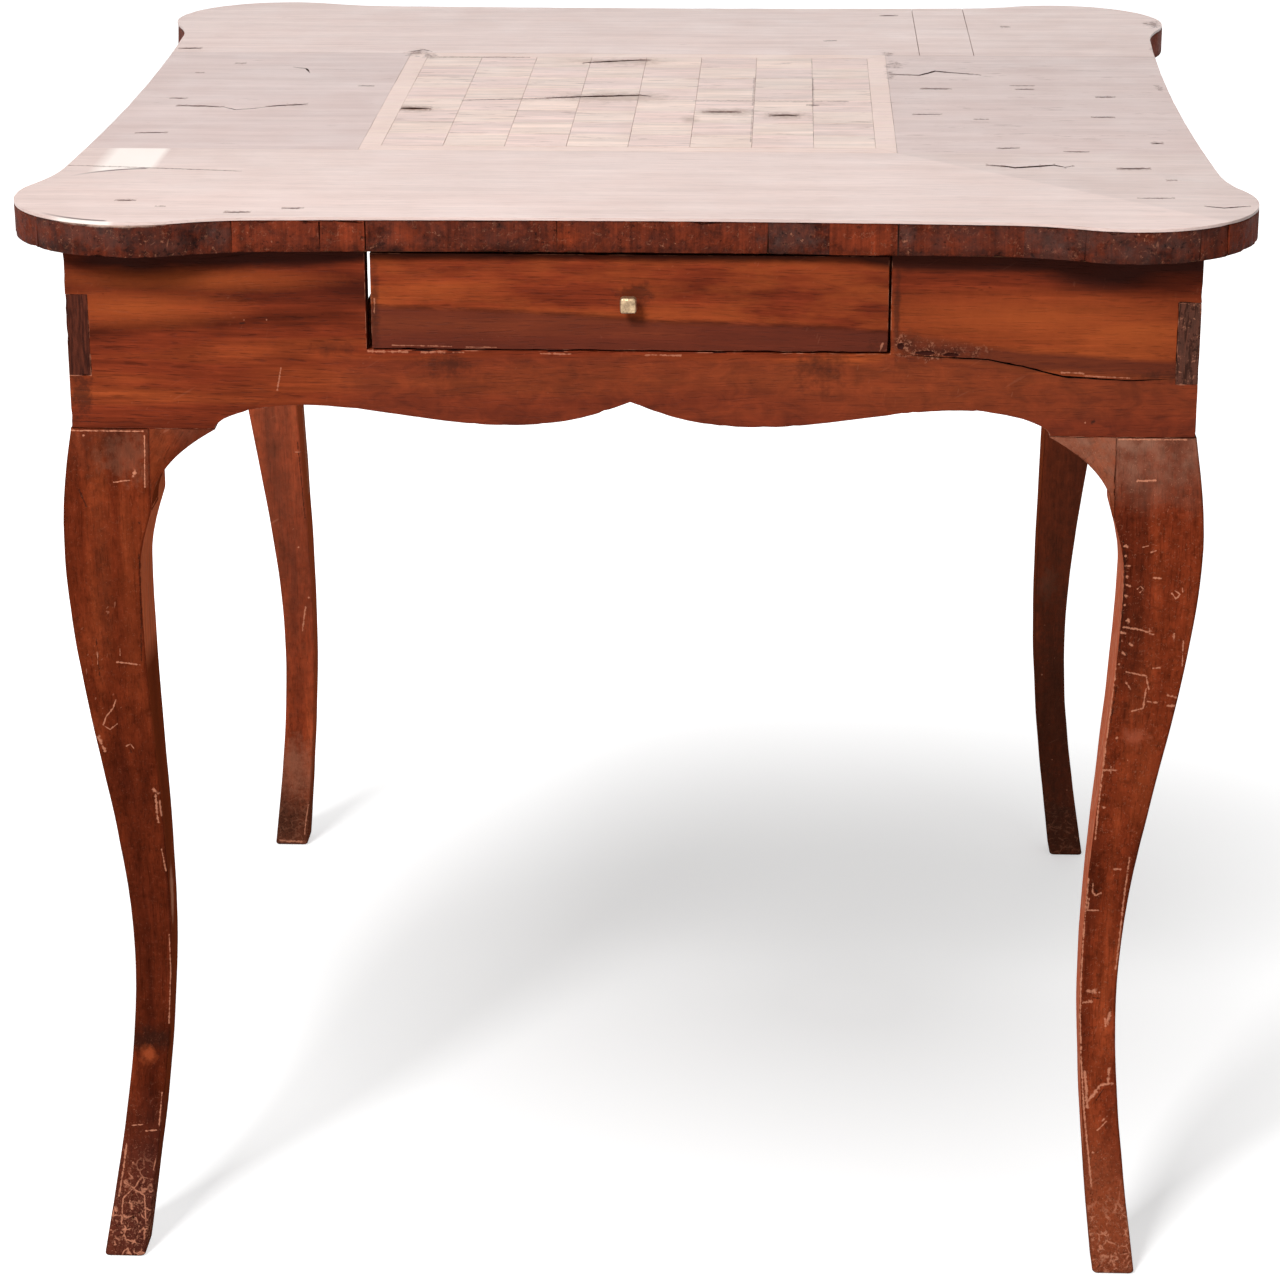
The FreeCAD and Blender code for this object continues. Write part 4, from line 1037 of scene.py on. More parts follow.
def board_stains(place, tint):
    """Brown stains on the board and the open joints between some of its squares."""
    stain = top_patches(place, (
        (-0.030, 0.0075, 0.040, 0.020, 0.4, 0.6), (0.058, -0.050, 0.022, 0.013, 0.5, 0.6),
        (0.101, -0.062, 0.020, 0.014, 0.5, 0.6), (-0.03, 0.157, 0.032, 0.016, 0.5, 0.6),
        (-0.18, -0.043, 0.018, 0.012, 0.5, 0.6), (-0.032, -0.203, 0.018, 0.010, 0.5, 0.8),
        (0.031, -0.079, 0.006, 0.012, 0.5, 0.8)))
    open_joints = strokes_on(place, (
        (0.0016, (0.077, 0.086, TOP), (0.077, -0.022, TOP)),
        (0.0010, (0.077, -0.04, TOP), (0.077, -0.16, TOP)),
        (0.0016, (0.123, 0.087, TOP), (0.123, -0.02, TOP)),
        (0.0009, (0.032, -0.007, TOP), (0.15, -0.007, TOP))))
    tint = blend(open_joints * 0.6, tint, shade(120, 80, 66))
    return blend(stain * 0.6, tint, shade(154, 118, 96))


class CHESSTABLE_OT_top(bpy.types.Operator):
    """Veneer fields, board squares and border strips of the top"""
    bl_idname = "chess_table.top"
    bl_label = "Top veneers and board"

    def execute(self, context):
        sizes, colours = settings()
        gap = gap_finish(colours)
        rows = (
            ("veneer_front_strip", 0.0, front_marks, 1.0, 0.45, 0.05),
            ("veneer_back_strip", 0.1, None, 1.07, 0.6, 0.15),
            ("veneer_left_panel", 0.4, None, 1.04, 0.8, 0.3),
            ("veneer_right_panel", 0.3, None, 1.01, 0.8, 0.5),
        )
        for number, (node, greyness, marks, tone, figure, dashes) in enumerate(rows):
            light = scale_colour(colours.veneer_light, tone)
            dark = tuple(high + (low * tone - high) * figure
                         for low, high in zip(colours.veneer_dark, light))
            shift = (0.37 * number, 0.11 * number, 0.0)
            finish = veneer_finish(node + "_finish", colours, dark, light, 0.009, greyness,
                                   crack_stains(TOP_CRACKS[node], marks), shift, 0.05, dashes)
            mesh = welded(node, from_joints(node, 0) if node == "veneer_back_strip" else None, 0.0002)
            piece = worn_object(node, [finish, gap], sizes.veneer_rounding, WIDE_STEP, "veneer",
                                number * 5.0, mesh)
            carve(piece, top_slits(TOP_CRACKS[node], sizes.crack_depth, number * 11.0))
            finish_piece(piece, node)

        border = veneer_finish("board_border_finish", colours, colours.dark_square,
                               colours.pale_square, 0.006)
        for side in ("front", "right", "back", "left"):
            node = "board_border_" + side
            finish_piece(worn_object(node, [border], sizes.veneer_rounding, WIDE_STEP, "veneer"), node)

        cracks = top_slits(BOARD_CRACKS, sizes.crack_depth, 50.0)
        for node, tint, seed in (("board_squares_pale", colours.pale_square, 1.0),
                                 ("board_squares_dark", colours.dark_square, 8.0)):
            dark = scale_colour(tint, 0.82)
            light = tuple(min(1.0, value * 1.08) for value in tint)
            finish = veneer_finish(node + "_finish", colours, dark, light, 0.007, 0.0,
                                   crack_stains(BOARD_CRACKS, board_stains), (seed, seed, 0.0), 0.15, 0.55)
            mesh = welded(node, lambda point, inside: self.square_middle(inside) - point)
            wear_arrises(mesh, sizes.veneer_rounding, WIDE_STEP, CHIP["veneer"], seed)
            tone = mesh.verts.layers.float.new("tone")
            for vert in mesh.verts:
                middle = self.square_middle(vert.co)
                vert[tone] = 0.08 * noise.noise(middle * 170 + Vector((seed, 0.5, 0.5)))
            piece = as_object(node + "_worn", mesh, [finish, gap])
            carve(piece, cracks.copy())
            finish_piece(piece, node)
        cracks.free()
        return {"FINISHED"}

    def square_middle(self, point):
        """The middle of the square that a point lies in."""
        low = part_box("board_border_front")[0]
        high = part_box("board_border_back")[1]
        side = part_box("board_border_left")[1].x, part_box("board_border_right")[0].x
        square = (side[1] - side[0]) / 8
        start = Vector((side[0], (low.y + high.y) / 2 - 4 * square, 0))
        column = math.floor((point.x - start.x) / square)
        row = math.floor((point.y - start.y) / square)
        return Vector((start.x + (column + 0.5) * square, start.y + (row + 0.5) * square,
                       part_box("board_border_left")[0].z + MILLIMETRE))


# brightness and greyness of the short lengths along the front, left to right, and which is the bright one
FRONT_TONES = ((0.34, 0.7), (0.2, 0.6), (0.6, 0.1), (0.72, 0.1), (0.42, 0.25), (0.5, 0.1),
               (0.2, 0.55), (0.82, 0.0), (0.36, 0.35), (0.22, 0.75), (0.42, 0.3), (0.25, 0.35))
BRIGHT_LENGTH = 7


class CHESSTABLE_OT_banding(bpy.types.Operator):
    """Short cross-grain lengths round the edge of the top"""
    bl_idname = "chess_table.banding"
    bl_label = "Edge banding"

    def execute(self, context):
        sizes, colours = settings()
        low_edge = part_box("edge_banding_front")[0].z
        finish = None
        for number, side in enumerate(("front", "right", "back", "left")):
            node = "edge_banding_" + side
            axis = 0 if side in ("front", "back") else 1
            mesh = welded(node, from_joints(node, axis), sizes.banding_gap / 2)
            layer = mesh.verts.layers.float_color.new("tone")
            lengths = islands(mesh)
            lengths.sort(key=lambda verts: sum(vert.co[axis] for vert in verts) / len(verts))
            for place, verts in enumerate(lengths):
                random = noise.noise(Vector((place * 3.1, number * 7.7, 0.3)))
                tone = FRONT_TONES[place] if side == "front" else (0.45 + 0.8 * random, max(0.0, -random))
                raised = 0.0007 * (noise.noise(Vector((place * 5.3, number * 2.1, 4.2))) + 1)
                for vert in verts:
                    vert[layer] = (*tone, 0.0, 1.0)
                    if vert.co.z < low_edge + MILLIMETRE:
                        vert.co.z += raised
            if finish is None:
                bright_end = max(vert.co.x for vert in lengths[BRIGHT_LENGTH])
                finish = banding_finish("banding_finish", colours, bright_end)
            piece = worn_object(node, [finish], sizes.rim_rounding, sizes.nibble_step, "rim",
                                number * 3.0, mesh, self.on_rim)
            finish_piece(piece, node)
        return {"FINISHED"}

    def on_rim(self, edge):
        """True for the upper and lower arrises, false for those between two lengths."""
        return any(abs(face.normal.z) > 0.7 for face in edge.link_faces)


def islands(mesh):
    """The vertices of each separate solid in a mesh."""
    left = set(mesh.verts)
    found = []
    while left:
        start = left.pop()
        group, queue = [start], [start]
        while queue:
            for edge in queue.pop().link_edges:
                for vert in edge.verts:
                    if vert in left:
                        left.remove(vert)
                        group.append(vert)
                        queue.append(vert)
        found.append(sorted(group, key=lambda vert: vert.index))
    return found


class CHESSTABLE_OT_aprons(bpy.types.Operator):
    """Front, back and side aprons, the front one split and dirty"""
    bl_idname = "chess_table.aprons"
    bl_label = "Aprons"

    def execute(self, context):
        sizes, colours = settings()
        gap = gap_finish(colours)
        rows = (
            ("front_apron", ALONG_X, (0.0, 0.0, 0.0), front_apron_marks(colours)),
            ("back_apron", ALONG_X, (0.7, 0.3, 0.1), None),
            ("left_apron", ALONG_Y, (0.2, 0.9, 0.0), side_apron_marks(colours)),
            ("right_apron", ALONG_Y, (1.3, 0.4, 0.2), side_apron_marks(colours)),
        )
        for number, (node, turn, shift, marks) in enumerate(rows):
            finish = apron_finish(node + "_finish", turn, shift, colours, marks)
            piece = worn_object(node, [finish], sizes.board_rounding, sizes.nibble_step, "board",
                                number * 4.0)
            if node == "front_apron":
                broken = plain_wood("broken_wood", ALONG_X, 0.75, colours.apron_dark)
                for cutters, inside in zip(self.damage(), (broken, gap)):
                    piece.data.materials.append(inside)
                    carve(piece, cutters)
            finish_piece(piece, node)
        return {"FINISHED"}

    def damage(self):
        """The split from the drawer's corner and the bits broken out beside it and along the rail."""
        face = APRON_FRONT
        path = [(0.1846, 0.6868), (0.2030, 0.6851), (0.2254, 0.6843), (0.2394, 0.6836), (0.2627, 0.6790),
                (0.2894, 0.6723), (0.3353, 0.6697), (0.3604, 0.6712)]
        out, sunk = Vector((0, -MILLIMETRE, 0)), Vector((0, 0.007, 0))
        split = bmesh.new()
        slit(split, [Vector((x, face, z)) for x, z in path], 0.0011, out, sunk)
        bits = bmesh.new()
        for seed, (x, z, wide, high) in enumerate((
                (0.181, 0.6925, 0.0025, 0.003), (0.197, 0.6878, 0.007, 0.0018),
                (0.2145, 0.6868, 0.006, 0.0015), (-0.140, 0.6872, 0.010, 0.0012),
                (-0.118, 0.6872, 0.006, 0.001), (-0.05, 0.6872, 0.008, 0.0009),
                (0.06, 0.6872, 0.006, 0.001))):
            lump(bits, (x, face - 0.0004, z), (wide, 0.0018, high), seed * 2.3)
        return bits, split


# marks on the legs, millimetres: the widest gap of a scratch, then its places across and up
# the front face; a place of three numbers lies on another face
PALE_MARKS = {
    "leg_front_left": (
        (0.9, (-380, 629), (-331, 629)), (1.5, (-371.6, 625.8)), (0.8, (-330, 626), (-330.6, 591)),
        (1.0, (-352, 594), (-341, 595.6)), (2.8, (-338, 599), (-337, 602)),
        (0.6, (-354, 473), (-354.3, 468)), (0.6, (-369.7, 471), (-370.4, 461)),
        (1.3, (-356.7, 462.6), (-341, 460.9)),
        (1.0, (-359.8, 433.2), (-362.3, 426.6), (-367.7, 419.9), (-370.2, 413.2), (-365.5, 409.9),
         (-360.2, 414.4)),
        (2.4, (-374.6, 404), (-372.5, 399)), (2.8, (-371.5, 396), (-370.8, 393)),
        (0.9, (-355, 397), (-352, 398.5), (-350, 395)), (2.8, (-338.6, 362), (-335.4, 359)),
        (1.6, (-337.2, 358), (-337, 336)), (1.2, (-334.6, 353), (-334.3, 341)),
        (1.3, (-336, 314), (-334, 296)), (0.9, (-334.6, 245), (-335, 215), (-337.8, 175)),
        (1.0, (-344.2, 122.6), (-346.8, 96.8)), (1.0, (-367, 97.5), (-358.6, 98.3)),
        (1.0, (-356.6, 93.4), (-348.9, 94.2)), (1.4, (-371, 83.6), (-374, 62.3), (-377, 45.3)),
        (1.3, (-366.5, 69.9)), (1.0, (-349.1, 75.4), (-351.4, 64.8)),
        (1.1, (-373, 54.9), (-365.7, 50.8), (-362.4, 56.1)),
        (1.0, (-375.5, 24.2), (-374.2, 43.2), (-366.7, 50.8), (-358.3, 45.6), (-357.5, 24.5)),
    ),
    "leg_front_right": (
        (0.9, (328.4, 629.4), (373.2, 629.6)), (1.3, (341.7, 601.6), (353.8, 602.1)),
        (1.8, (334.9, 556.7), (336.5, 556)), (2.0, (335.6, 549.6)), (1.8, (336.4, 543), (338, 542.4)),
        (2.2, (336.9, 534.6)), (1.8, (337, 528.8), (339, 528)), (2.0, (337, 520.7)), (1.8, (336.7, 514)),
        (2.4, (338.8, 503.1), (340, 502)), (1.8, (335.4, 493.4), (338, 493)), (1.8, (335.9, 487.4)),
        (1.8, (341.5, 485.2), (343, 484)), (1.8, (336.3, 479), (338.5, 477)), (1.4, (334.9, 470)),
        (1.0, (346.9, 555.9), (350.3, 556.9)), (1.0, (352.5, 552.2), (355.8, 553.7)),
        (1.4, (355, 534.3), (360.1, 533.7)),
        (0.8, (344.5, 526), (346.5, 528), (348.5, 526), (346.5, 523.5)),
        (1.0, (368, 523), (371, 519), (373.5, 522.5), (370, 525)), (1.0, (374.9, 527), (375.2, 524)),
        (1.6, (336.5, 497.7), (347.7, 496.1), (356.7, 492.7)), (3.0, (353.9, 494.7)),
        (1.7, (371, 493.1), (371, 490)), (0.9, (377.5, 487.9), (377.9, 469.1)),
        (1.2, (358.1, 466.9), (362.8, 467.7)), (1.3, (340.1, 464), (353.6, 461.1), (356.1, 451.3)),
        (1.3, (340.5, 455.6), (344, 450.3)), (1.3, (354.2, 451.3), (353.1, 436.2), (345.5, 433.9)),
        (1.5, (355.7, 441.7), (362.4, 440.7)), (2.0, (369.8, 446.2), (375.2, 445.1)),
        (2.0, (370.2, 438.6), (374.4, 438.2)), (2.2, (336, 413)), (1.6, (328.8, 387.3), (337.4, 387.6)),
        (1.0, (333.4, 390), (333.6, 385)), (1.2, (344.7, 395.6)), (2.4, (330.4, 357.4)),
        (1.5, (328.8, 367.6)), (1.2, (333, 467), (330.5, 430), (328.4, 399), (326.6, 365), (325.3, 332)),
        (1.2, (322.9, 307.8)), (1.5, (340, 308.1), (344.3, 308.1)),
        (1.3, (325.5, 296), (325.4, 289.6), (328.1, 286.6), (331.1, 288.9)),
        (1.3, (323.4, 284.2), (322.4, 274.8), (330.6, 274.9)), (3.2, (325.6, 211.7), (330.8, 210.6)),
        (1.5, (333.4, 209.9)), (2.0, (322.4, 201.7), (328.3, 202.9)), (2.6, (339.8, 186.2), (341.9, 194.1)),
        (1.6, (338.6, 190), (339, 184)), (2.4, (325.3, 149.1), (327.9, 122.8)),
        (2.3, (344.6, 140.6), (336.8, 139.4), (331.7, 131.6), (327.9, 127.1)),
        (2.0, (342.1, 140.5), (342.6, 151.6)), (1.8, (342.4, 116.3), (338.6, 112.5)),
        (1.0, (341.7, 112.3), (335.6, 105.5)), (1.9, (332.8, 89.2)),
        (1.3, (350.2, 317.7), (347.8, 284.6), (346, 249.3), (344.6, 228.5)),
        (1.3, (322.2, 300), (320.6, 253), (320.2, 217), (320.6, 191), (322.6, 155), (325.8, 116),
         (329.6, 86), (332.2, 64)),
    ),
    "leg_back_left": (
        (3.4, (-330.4, 391.3, 421), (-328, 384.4, 384), (-325.8, 379.4, 348)), (1.4, (-333.2, 302.9)),
        (1.6, (-325.4, 254.8)), (1.4, (-328.7, 246), (-332.3, 223)), (1.0, (-334, 391), (-329, 391)),
        (2.2, (-364, 5), (-344, 4)), (1.2, (-340.6, 12), (-338, 30), (-335.2, 44)),
    ),
    "leg_back_right": (
        (1.4, (339.7, 236.6)), (1.6, (339.2, 188)), (1.4, (352, 102)), (1.6, (367, 70)),
    ),
}

DARK_MARKS = {
    "leg_front_left": (
        (1.3, (-375.5, 588.5), (-371.1, 577)), (2.6, (-335, 566)),
        (1.2, (-336.4, 543), (-337.5, 502), (-339.6, 464)), (1.0, (-352.8, 395.6), (-352, 392)),
        (1.0, (-370, 480), (-369.6, 452)),
    ),
    "leg_front_right": (
        (1.6, (333.6, 560), (335.2, 545), (335.6, 520), (335.2, 500), (334.6, 480)), (1.2, (346.5, 525.7)),
        (1.2, (333.8, 452), (331.4, 425)), (1.6, (326.5, 292), (328.5, 290)),
        (1.2, (334, 205), (327, 206.5)), (1.2, (339, 136), (334, 128)),
    ),
    "leg_back_left": (
        (1.2, (-331.5, 400), (-328.6, 360), (-326.6, 330)),
    ),
    "leg_back_right": (),
}

# softer patches: tone, strength, middle across and up, reach across and up, how ragged, how soft
LEG_PATCHES = {
    "leg_front_left": (
        ("dark", 0.75, (-352, 163), (24, 10), 0.5, 0.7), ("glow", 0.9, (-353.2, 151), (5.5, 6.5), 0.6, 0.8),
        ("bare", 0.13, (-343, 612), (18, 16), 0.9, 0.7), ("dark", 0.4, (-362, 520), (5, 60), 0.7, 1.0),
        ("dark", 0.35, (-356, 616), (30, 22), 0.5, 0.9), ("glow", 0.25, (-345, 490), (7, 80), 0.5, 1.0),
        # a painted highlight: glare on the inner side face
        ("bare", 0.9, (-332.5, -371.5, 275), (3, 6, 22), 0.3, 0.5),
    ),
    "leg_front_right": (
        ("rubbed", 0.7, (348.5, 414), (8, 6), 0.9, 0.9), ("glow", 0.8, (345.5, 239), (3, 16), 0.6, 0.9),
        ("glow", 0.5, (358, 380), (8, 60), 0.5, 1.0), ("dark", 0.35, (345, 470), (10, 70), 0.8, 1.0),
        ("glow", 0.4, (345, 40), (12, 45), 0.6, 1.0),
    ),
    "leg_back_left": (
        ("bare", 0.25, (-345, 85), (20, 28), 0.7, 0.9), ("dark", 0.5, (-352, 25), (22, 26), 0.6, 0.9),
        ("bare", 0.1, (-350, 500), (80, 80, 300), 0.3, 0.9),
    ),
    "leg_back_right": (
        ("bare", 0.3, (340.5, 276), (7, 15), 0.9, 0.9), ("dark", 0.5, (363, 15), (24, 30), 0.6, 0.9),
        # painted shade over most of the leg, which stands in the shadow of the table
        ("dark", 0.78, (352, 160), (60, 60, 240), 0.3, 0.9),
        ("bare", 0.08, (352, 400), (80, 80, 420), 0.3, 0.9),
    ),
}

# the state of each leg's polish, as leg_finish() takes it; the tone scale is painted light on the back
# legs, and inner is painted light on the front legs' inner sides
LEG_STATE = {
    "leg_front_left": {"tone_and_light": 0.95, "rub": (0.07, 0.03), "foot": 1.0, "crazed": 0.3, "bare_arris": 0.3,
                       "foot_tone": (84, 44, 36), "inner": (1.0, (246, 128, 84), 0.455)},
    "leg_front_right": {"tone_and_light": 1.33, "rub": (0.85, 0.05), "foot": 0.8, "crazed": 0.9, "bare_arris": 0.8,
                        "foot_tone": (136, 70, 46), "inner": (-1.0, (214, 112, 80), 0.08)},
    "leg_back_left": {"tone_and_light": 1.95, "foot": 0.2, "bare_arris": 0.3, "foot_tone": (104, 64, 48)},
    "leg_back_right": {"tone_and_light": 2.6, "foot": 0.25, "bare_arris": 0.3, "foot_tone": (70, 42, 34)},
}

# how chipped the arrises of each leg are: front left, front right, back left, back right
LEG_CHIPS = {
    "leg_front_left": (0.35, 0.3, 0.15, 0.2),
    "leg_front_right": (0.75, 0.45, 0.2, 0.2),
    "leg_back_left": (0.2, 0.3, 0.15, 0.15),
    "leg_back_right": (0.25, 0.2, 0.15, 0.15),
}

# the heights, in metres, between which the marks of a front leg are drawn together
LEG_ZONES = (0.0, 0.1, 0.19, 0.28, 0.37, 0.46, 1.0)


class CHESSTABLE_OT_legs(bpy.types.Operator):
    """Four cabriole legs with worn and chipped arrises"""
    bl_idname = "chess_table.legs"
    bl_label = "Legs"

    def execute(self, context):
        sizes, colours = settings()
        for number, (node, state) in enumerate(LEG_STATE.items()):
            source = welded(node)
            top = max(vert.co.z for vert in source.verts)
            feet = [vert.co for vert in source.verts if vert.co.z < 1e-4]
            start = sum(feet, Vector()) / len(feet)
            solid = BVHTree.FromBMesh(source)
            source.free()
            zones = LEG_ZONES if node.startswith("leg_front") else (0.0, 1.0)
            shift = (0.3 * number, 0.17 * number, 0.0)
            finishes = [leg_finish("%s_finish_%d" % (node, zone), ALONG_Z, shift, colours,
                                   self.marks(node, solid, *reach), **state)
                        for zone, reach in enumerate(zip(zones, zones[1:]), 1)]
            mesh = self.rings(node, solid, start, top, sizes)
            self.wear(mesh, sizes, LEG_CHIPS[node], number * 13.0)
            for face in mesh.faces:
                face.material_index = max(bisect.bisect(zones, face.calc_center_median().z), 1) - 1
            finish_piece(as_object(node + "_worn", mesh, finishes), node)
        return {"FINISHED"}

    def on_leg(self, node, solid, place):
        """A place in metres; where only across and up are given, it is found on the front face."""
        point = Vector(place) * MILLIMETRE
        if len(place) == 3:
            return tuple(point)
        hit = solid.ray_cast(Vector((point.x, -1.0, point.y)), Vector((0, 1, 0)))[0]
        if hit is None:
            raise RuntimeError("a mark at %s is not on %s" % (place, node))
        return tuple(hit)

    def marks(self, node, solid, bottom, top):
        """Adds the leg's own scratches, stains and bright spots between two heights to its colour, with the
        patches of painted shade and highlight among them.
        """
        sizes, colours = settings()
        tones = {"dark": colours.gap, "glow": colours.leg_light, "bare": colours.nick,
                 "rubbed": shade(182, 92, 64)}

        def placed(rows):
            found = [(width * MILLIMETRE, *(self.on_leg(node, solid, place) for place in places))
                     for width, *places in rows]
            return [row for row in found if min(place[2] for place in row[1:]) < top + sizes.mark_margin
                    and max(place[2] for place in row[1:]) > bottom - sizes.mark_margin]

        def add(place, tint):
            for tone, strength, middle, reach, ragged, soft in LEG_PATCHES[node]:
                wide = reach if len(reach) == 3 else (reach[0], 8, reach[1])
                centre = self.on_leg(node, solid, middle)
                beyond = wide[2] * MILLIMETRE * 2.0
                if centre[2] + beyond < bottom or centre[2] - beyond > top:
                    continue
                mask = patches_on(place, [(centre, tuple(Vector(wide) * MILLIMETRE), ragged, soft)])
                tint = blend(mask * strength, tint, tones[tone])
            net = mask_of("scratch_net", place, size=0.009)
            low = place.clouds(40.0, 2.0).scaled(0.06, plus=place.split()[2]).ramp(0.1, 0.07)
            made = net * (low * LEG_STATE[node]["foot"])
            dark, pale = placed(DARK_MARKS[node]), placed(PALE_MARKS[node])
            if dark:
                tint = blend(strokes_on(place, dark) * 0.7, tint, colours.gap)
            if pale:
                made = most(strokes_on(place, pale), made)
            return tint, made
        return add

    def walls(self, node, solid, middle, height):
        """Where a level line from the middle leaves the leg: left, right, front and back."""
        found = []
        for way in ((-1, 0, 0), (1, 0, 0), (0, -1, 0), (0, 1, 0)):
            hit = solid.ray_cast(Vector((middle.x, middle.y, height)), Vector(way))[0]
            if hit is None:
                raise RuntimeError("%s has no wall at height %.4f" % (node, height))
            found.append(hit.y if way[1] else hit.x)
        return found

    def rings(self, node, solid, middle, top, sizes):
        """Rings up the leg, read from the sawn shape; they lie closest where the foot is rounded."""
        count = int(APRON_BOTTOM / sizes.leg_step)
        heights = [0.0002, 0.0006, 0.0013, 0.0022]
        heights += [APRON_BOTTOM * number / count for number in range(1, count)]
        heights += [APRON_BOTTOM - 0.0002, APRON_BOTTOM + 0.0002, top - 0.0002]
        mesh = bmesh.new()
        for name in ("nick", "wear"):
            mesh.verts.layers.float.new(name)
        cap = bmesh.ops.create_grid(mesh, x_segments=1, y_segments=1, size=0.5)["verts"][0].link_faces[0]
        for number, height in enumerate(heights):
            left, right, front, back = self.walls(node, solid, middle, height)
            middle = Vector(((left + right) / 2, (front + back) / 2, 0))
            if number:
                grown = bmesh.ops.extrude_face_region(mesh, geom=[cap])["geom"]
                cap = next(item for item in grown if isinstance(item, bmesh.types.BMFace))
            corners = sorted(cap.verts, key=lambda vert: vert.co.x)
            level = 0.0 if number == 0 else height
            if height > top - 0.001:
                level = top
            elif abs(height - APRON_BOTTOM) < 0.001:
                level = APRON_BOTTOM
            missing = max(0.0, sizes.foot_rounding - level)
            inset = sizes.foot_rounding - math.sqrt(sizes.foot_rounding ** 2 - missing ** 2)
            for pair, x in ((corners[:2], left + inset), (corners[2:], right - inset)):
                pair.sort(key=lambda vert: vert.co.y)
                for vert, y in zip(pair, (front + inset, back - inset)):
                    vert.co = Vector((x, y, level))
        inner = [face for face in mesh.faces if face is not cap and abs(face.normal.z) > 0.9
                 and 0.0001 < face.calc_center_median().z < APRON_BOTTOM - 0.001]
        bmesh.ops.delete(mesh, geom=inner, context="FACES_ONLY")
        bmesh.ops.recalc_face_normals(mesh, faces=mesh.faces)
        return mesh

    def wear(self, mesh, sizes, chips, seed):
        """Rounds the long arrises, divides the faces between them, then chips and swells them."""
        nick, wear = (mesh.verts.layers.float[name] for name in ("nick", "wear"))
        arrises = [edge for edge in sharp_edges(mesh)
                   if abs(edge.verts[0].co.z - edge.verts[1].co.z) > 0.0003
                   and max(vert.co.z for vert in edge.verts) <= APRON_BOTTOM + 1e-6]
        rounded = bmesh.ops.bevel(mesh, geom=arrises, offset=sizes.leg_rounding, segments=3, **BEVEL)
        on_arris = set(rounded["verts"])
        level_edges = [edge for edge in mesh.edges
                       if abs(edge.verts[0].co.z - edge.verts[1].co.z) < 1e-5 and edge.calc_length() > 0.012
                       and edge.verts[0].co.z < APRON_BOTTOM + 1e-5]
        bmesh.ops.subdivide_edges(mesh, edges=level_edges, cuts=3, use_grid_fill=True)
        mesh.normal_update()
        by_level = {}
        for vert in mesh.verts:
            by_level.setdefault(round(vert.co.z, 4), []).append(vert.co)
        for vert in mesh.verts:
            if vert.co.z > APRON_BOTTOM - 0.002:
                continue
            place = vert.co + Vector((seed, 0, 0))
            if vert in on_arris:
                ring = by_level.get(round(vert.co.z, 4), [vert.co])
                centre = sum(ring, Vector()) / len(ring)
                chipped = chips[(1 if vert.co.x > centre.x else 0) + (2 if vert.co.y > centre.y else 0)]
                chip = noise.noise(place * 95) + 0.6 * noise.noise(place * 260) - 0.75 + 0.75 * chipped
                chip = min(max(0.0, chip) * 2.2, 1.0)
                vert[nick] = chip
                vert[wear] = 1.0
                vert.co -= vert.normal * CHIP["leg"] * chip
                vert.co.z = max(vert.co.z, 0.0)
            elif vert.co.z > 0.002:
                vert.co += vert.normal * 0.00035 * noise.noise(place * 28)


class CHESSTABLE_OT_brackets(bpy.types.Operator):
    """Two knee brackets beside each leg"""
    bl_idname = "chess_table.brackets"
    bl_label = "Knee brackets"

    def execute(self, context):
        sizes, colours = settings()
        for number, corner in enumerate(("front_left", "front_right", "back_left", "back_right")):
            for way, lean in (("end", 0.5), ("side", 0.4)):
                node = "bracket_%s_%s" % (corner, way)
                turn = (0.0, math.pi / 2 - (lean if "left" in corner else -lean), 0.0)
                # the leg's tone scale, painted light on the back legs, a little darker for the bracket
                tone_and_light = LEG_STATE["leg_" + corner]["tone_and_light"] * (0.72 if corner == "front_right" else 0.87)
                rub, crazed = ((0.75, 0.06), 1.0) if corner == "front_right" else ((0.15, 0.02), 0.2)
                finish = leg_finish(node + "_finish", turn, (0.9 * number, lean, 0.0), colours,
                                    tone_and_light=tone_and_light, rub=rub, crazed=crazed)
                piece = worn_object(node, [finish], sizes.bracket_rounding, sizes.nibble_step,
                                    "bracket", number * 2.0)
                finish_piece(piece, node)
        return {"FINISHED"}


class CHESSTABLE_OT_drawer(bpy.types.Operator):
    """Drawer front, sides, back and bottom"""
    bl_idname = "chess_table.drawer"
    bl_label = "Drawer"

    def execute(self, context):
        sizes, colours = settings()
        node = "drawer_front"
        finish = apron_finish(node + "_finish", ALONG_X, (0.1, 0.2, 0.35), colours, drawer_marks(colours))
        piece = worn_object(node, [finish], sizes.board_rounding, sizes.nibble_step, "board", 21.0)
        finish_piece(piece, node)
        for node, turn, tone in (("drawer_side_left", ALONG_Y, 1.0), ("drawer_side_right", ALONG_Y, 0.95),
                                 ("drawer_back", ALONG_X, 0.9), ("drawer_bottom", ALONG_X, 0.8)):
            plain_piece(node, turn, tone, 3.0)
        return {"FINISHED"}


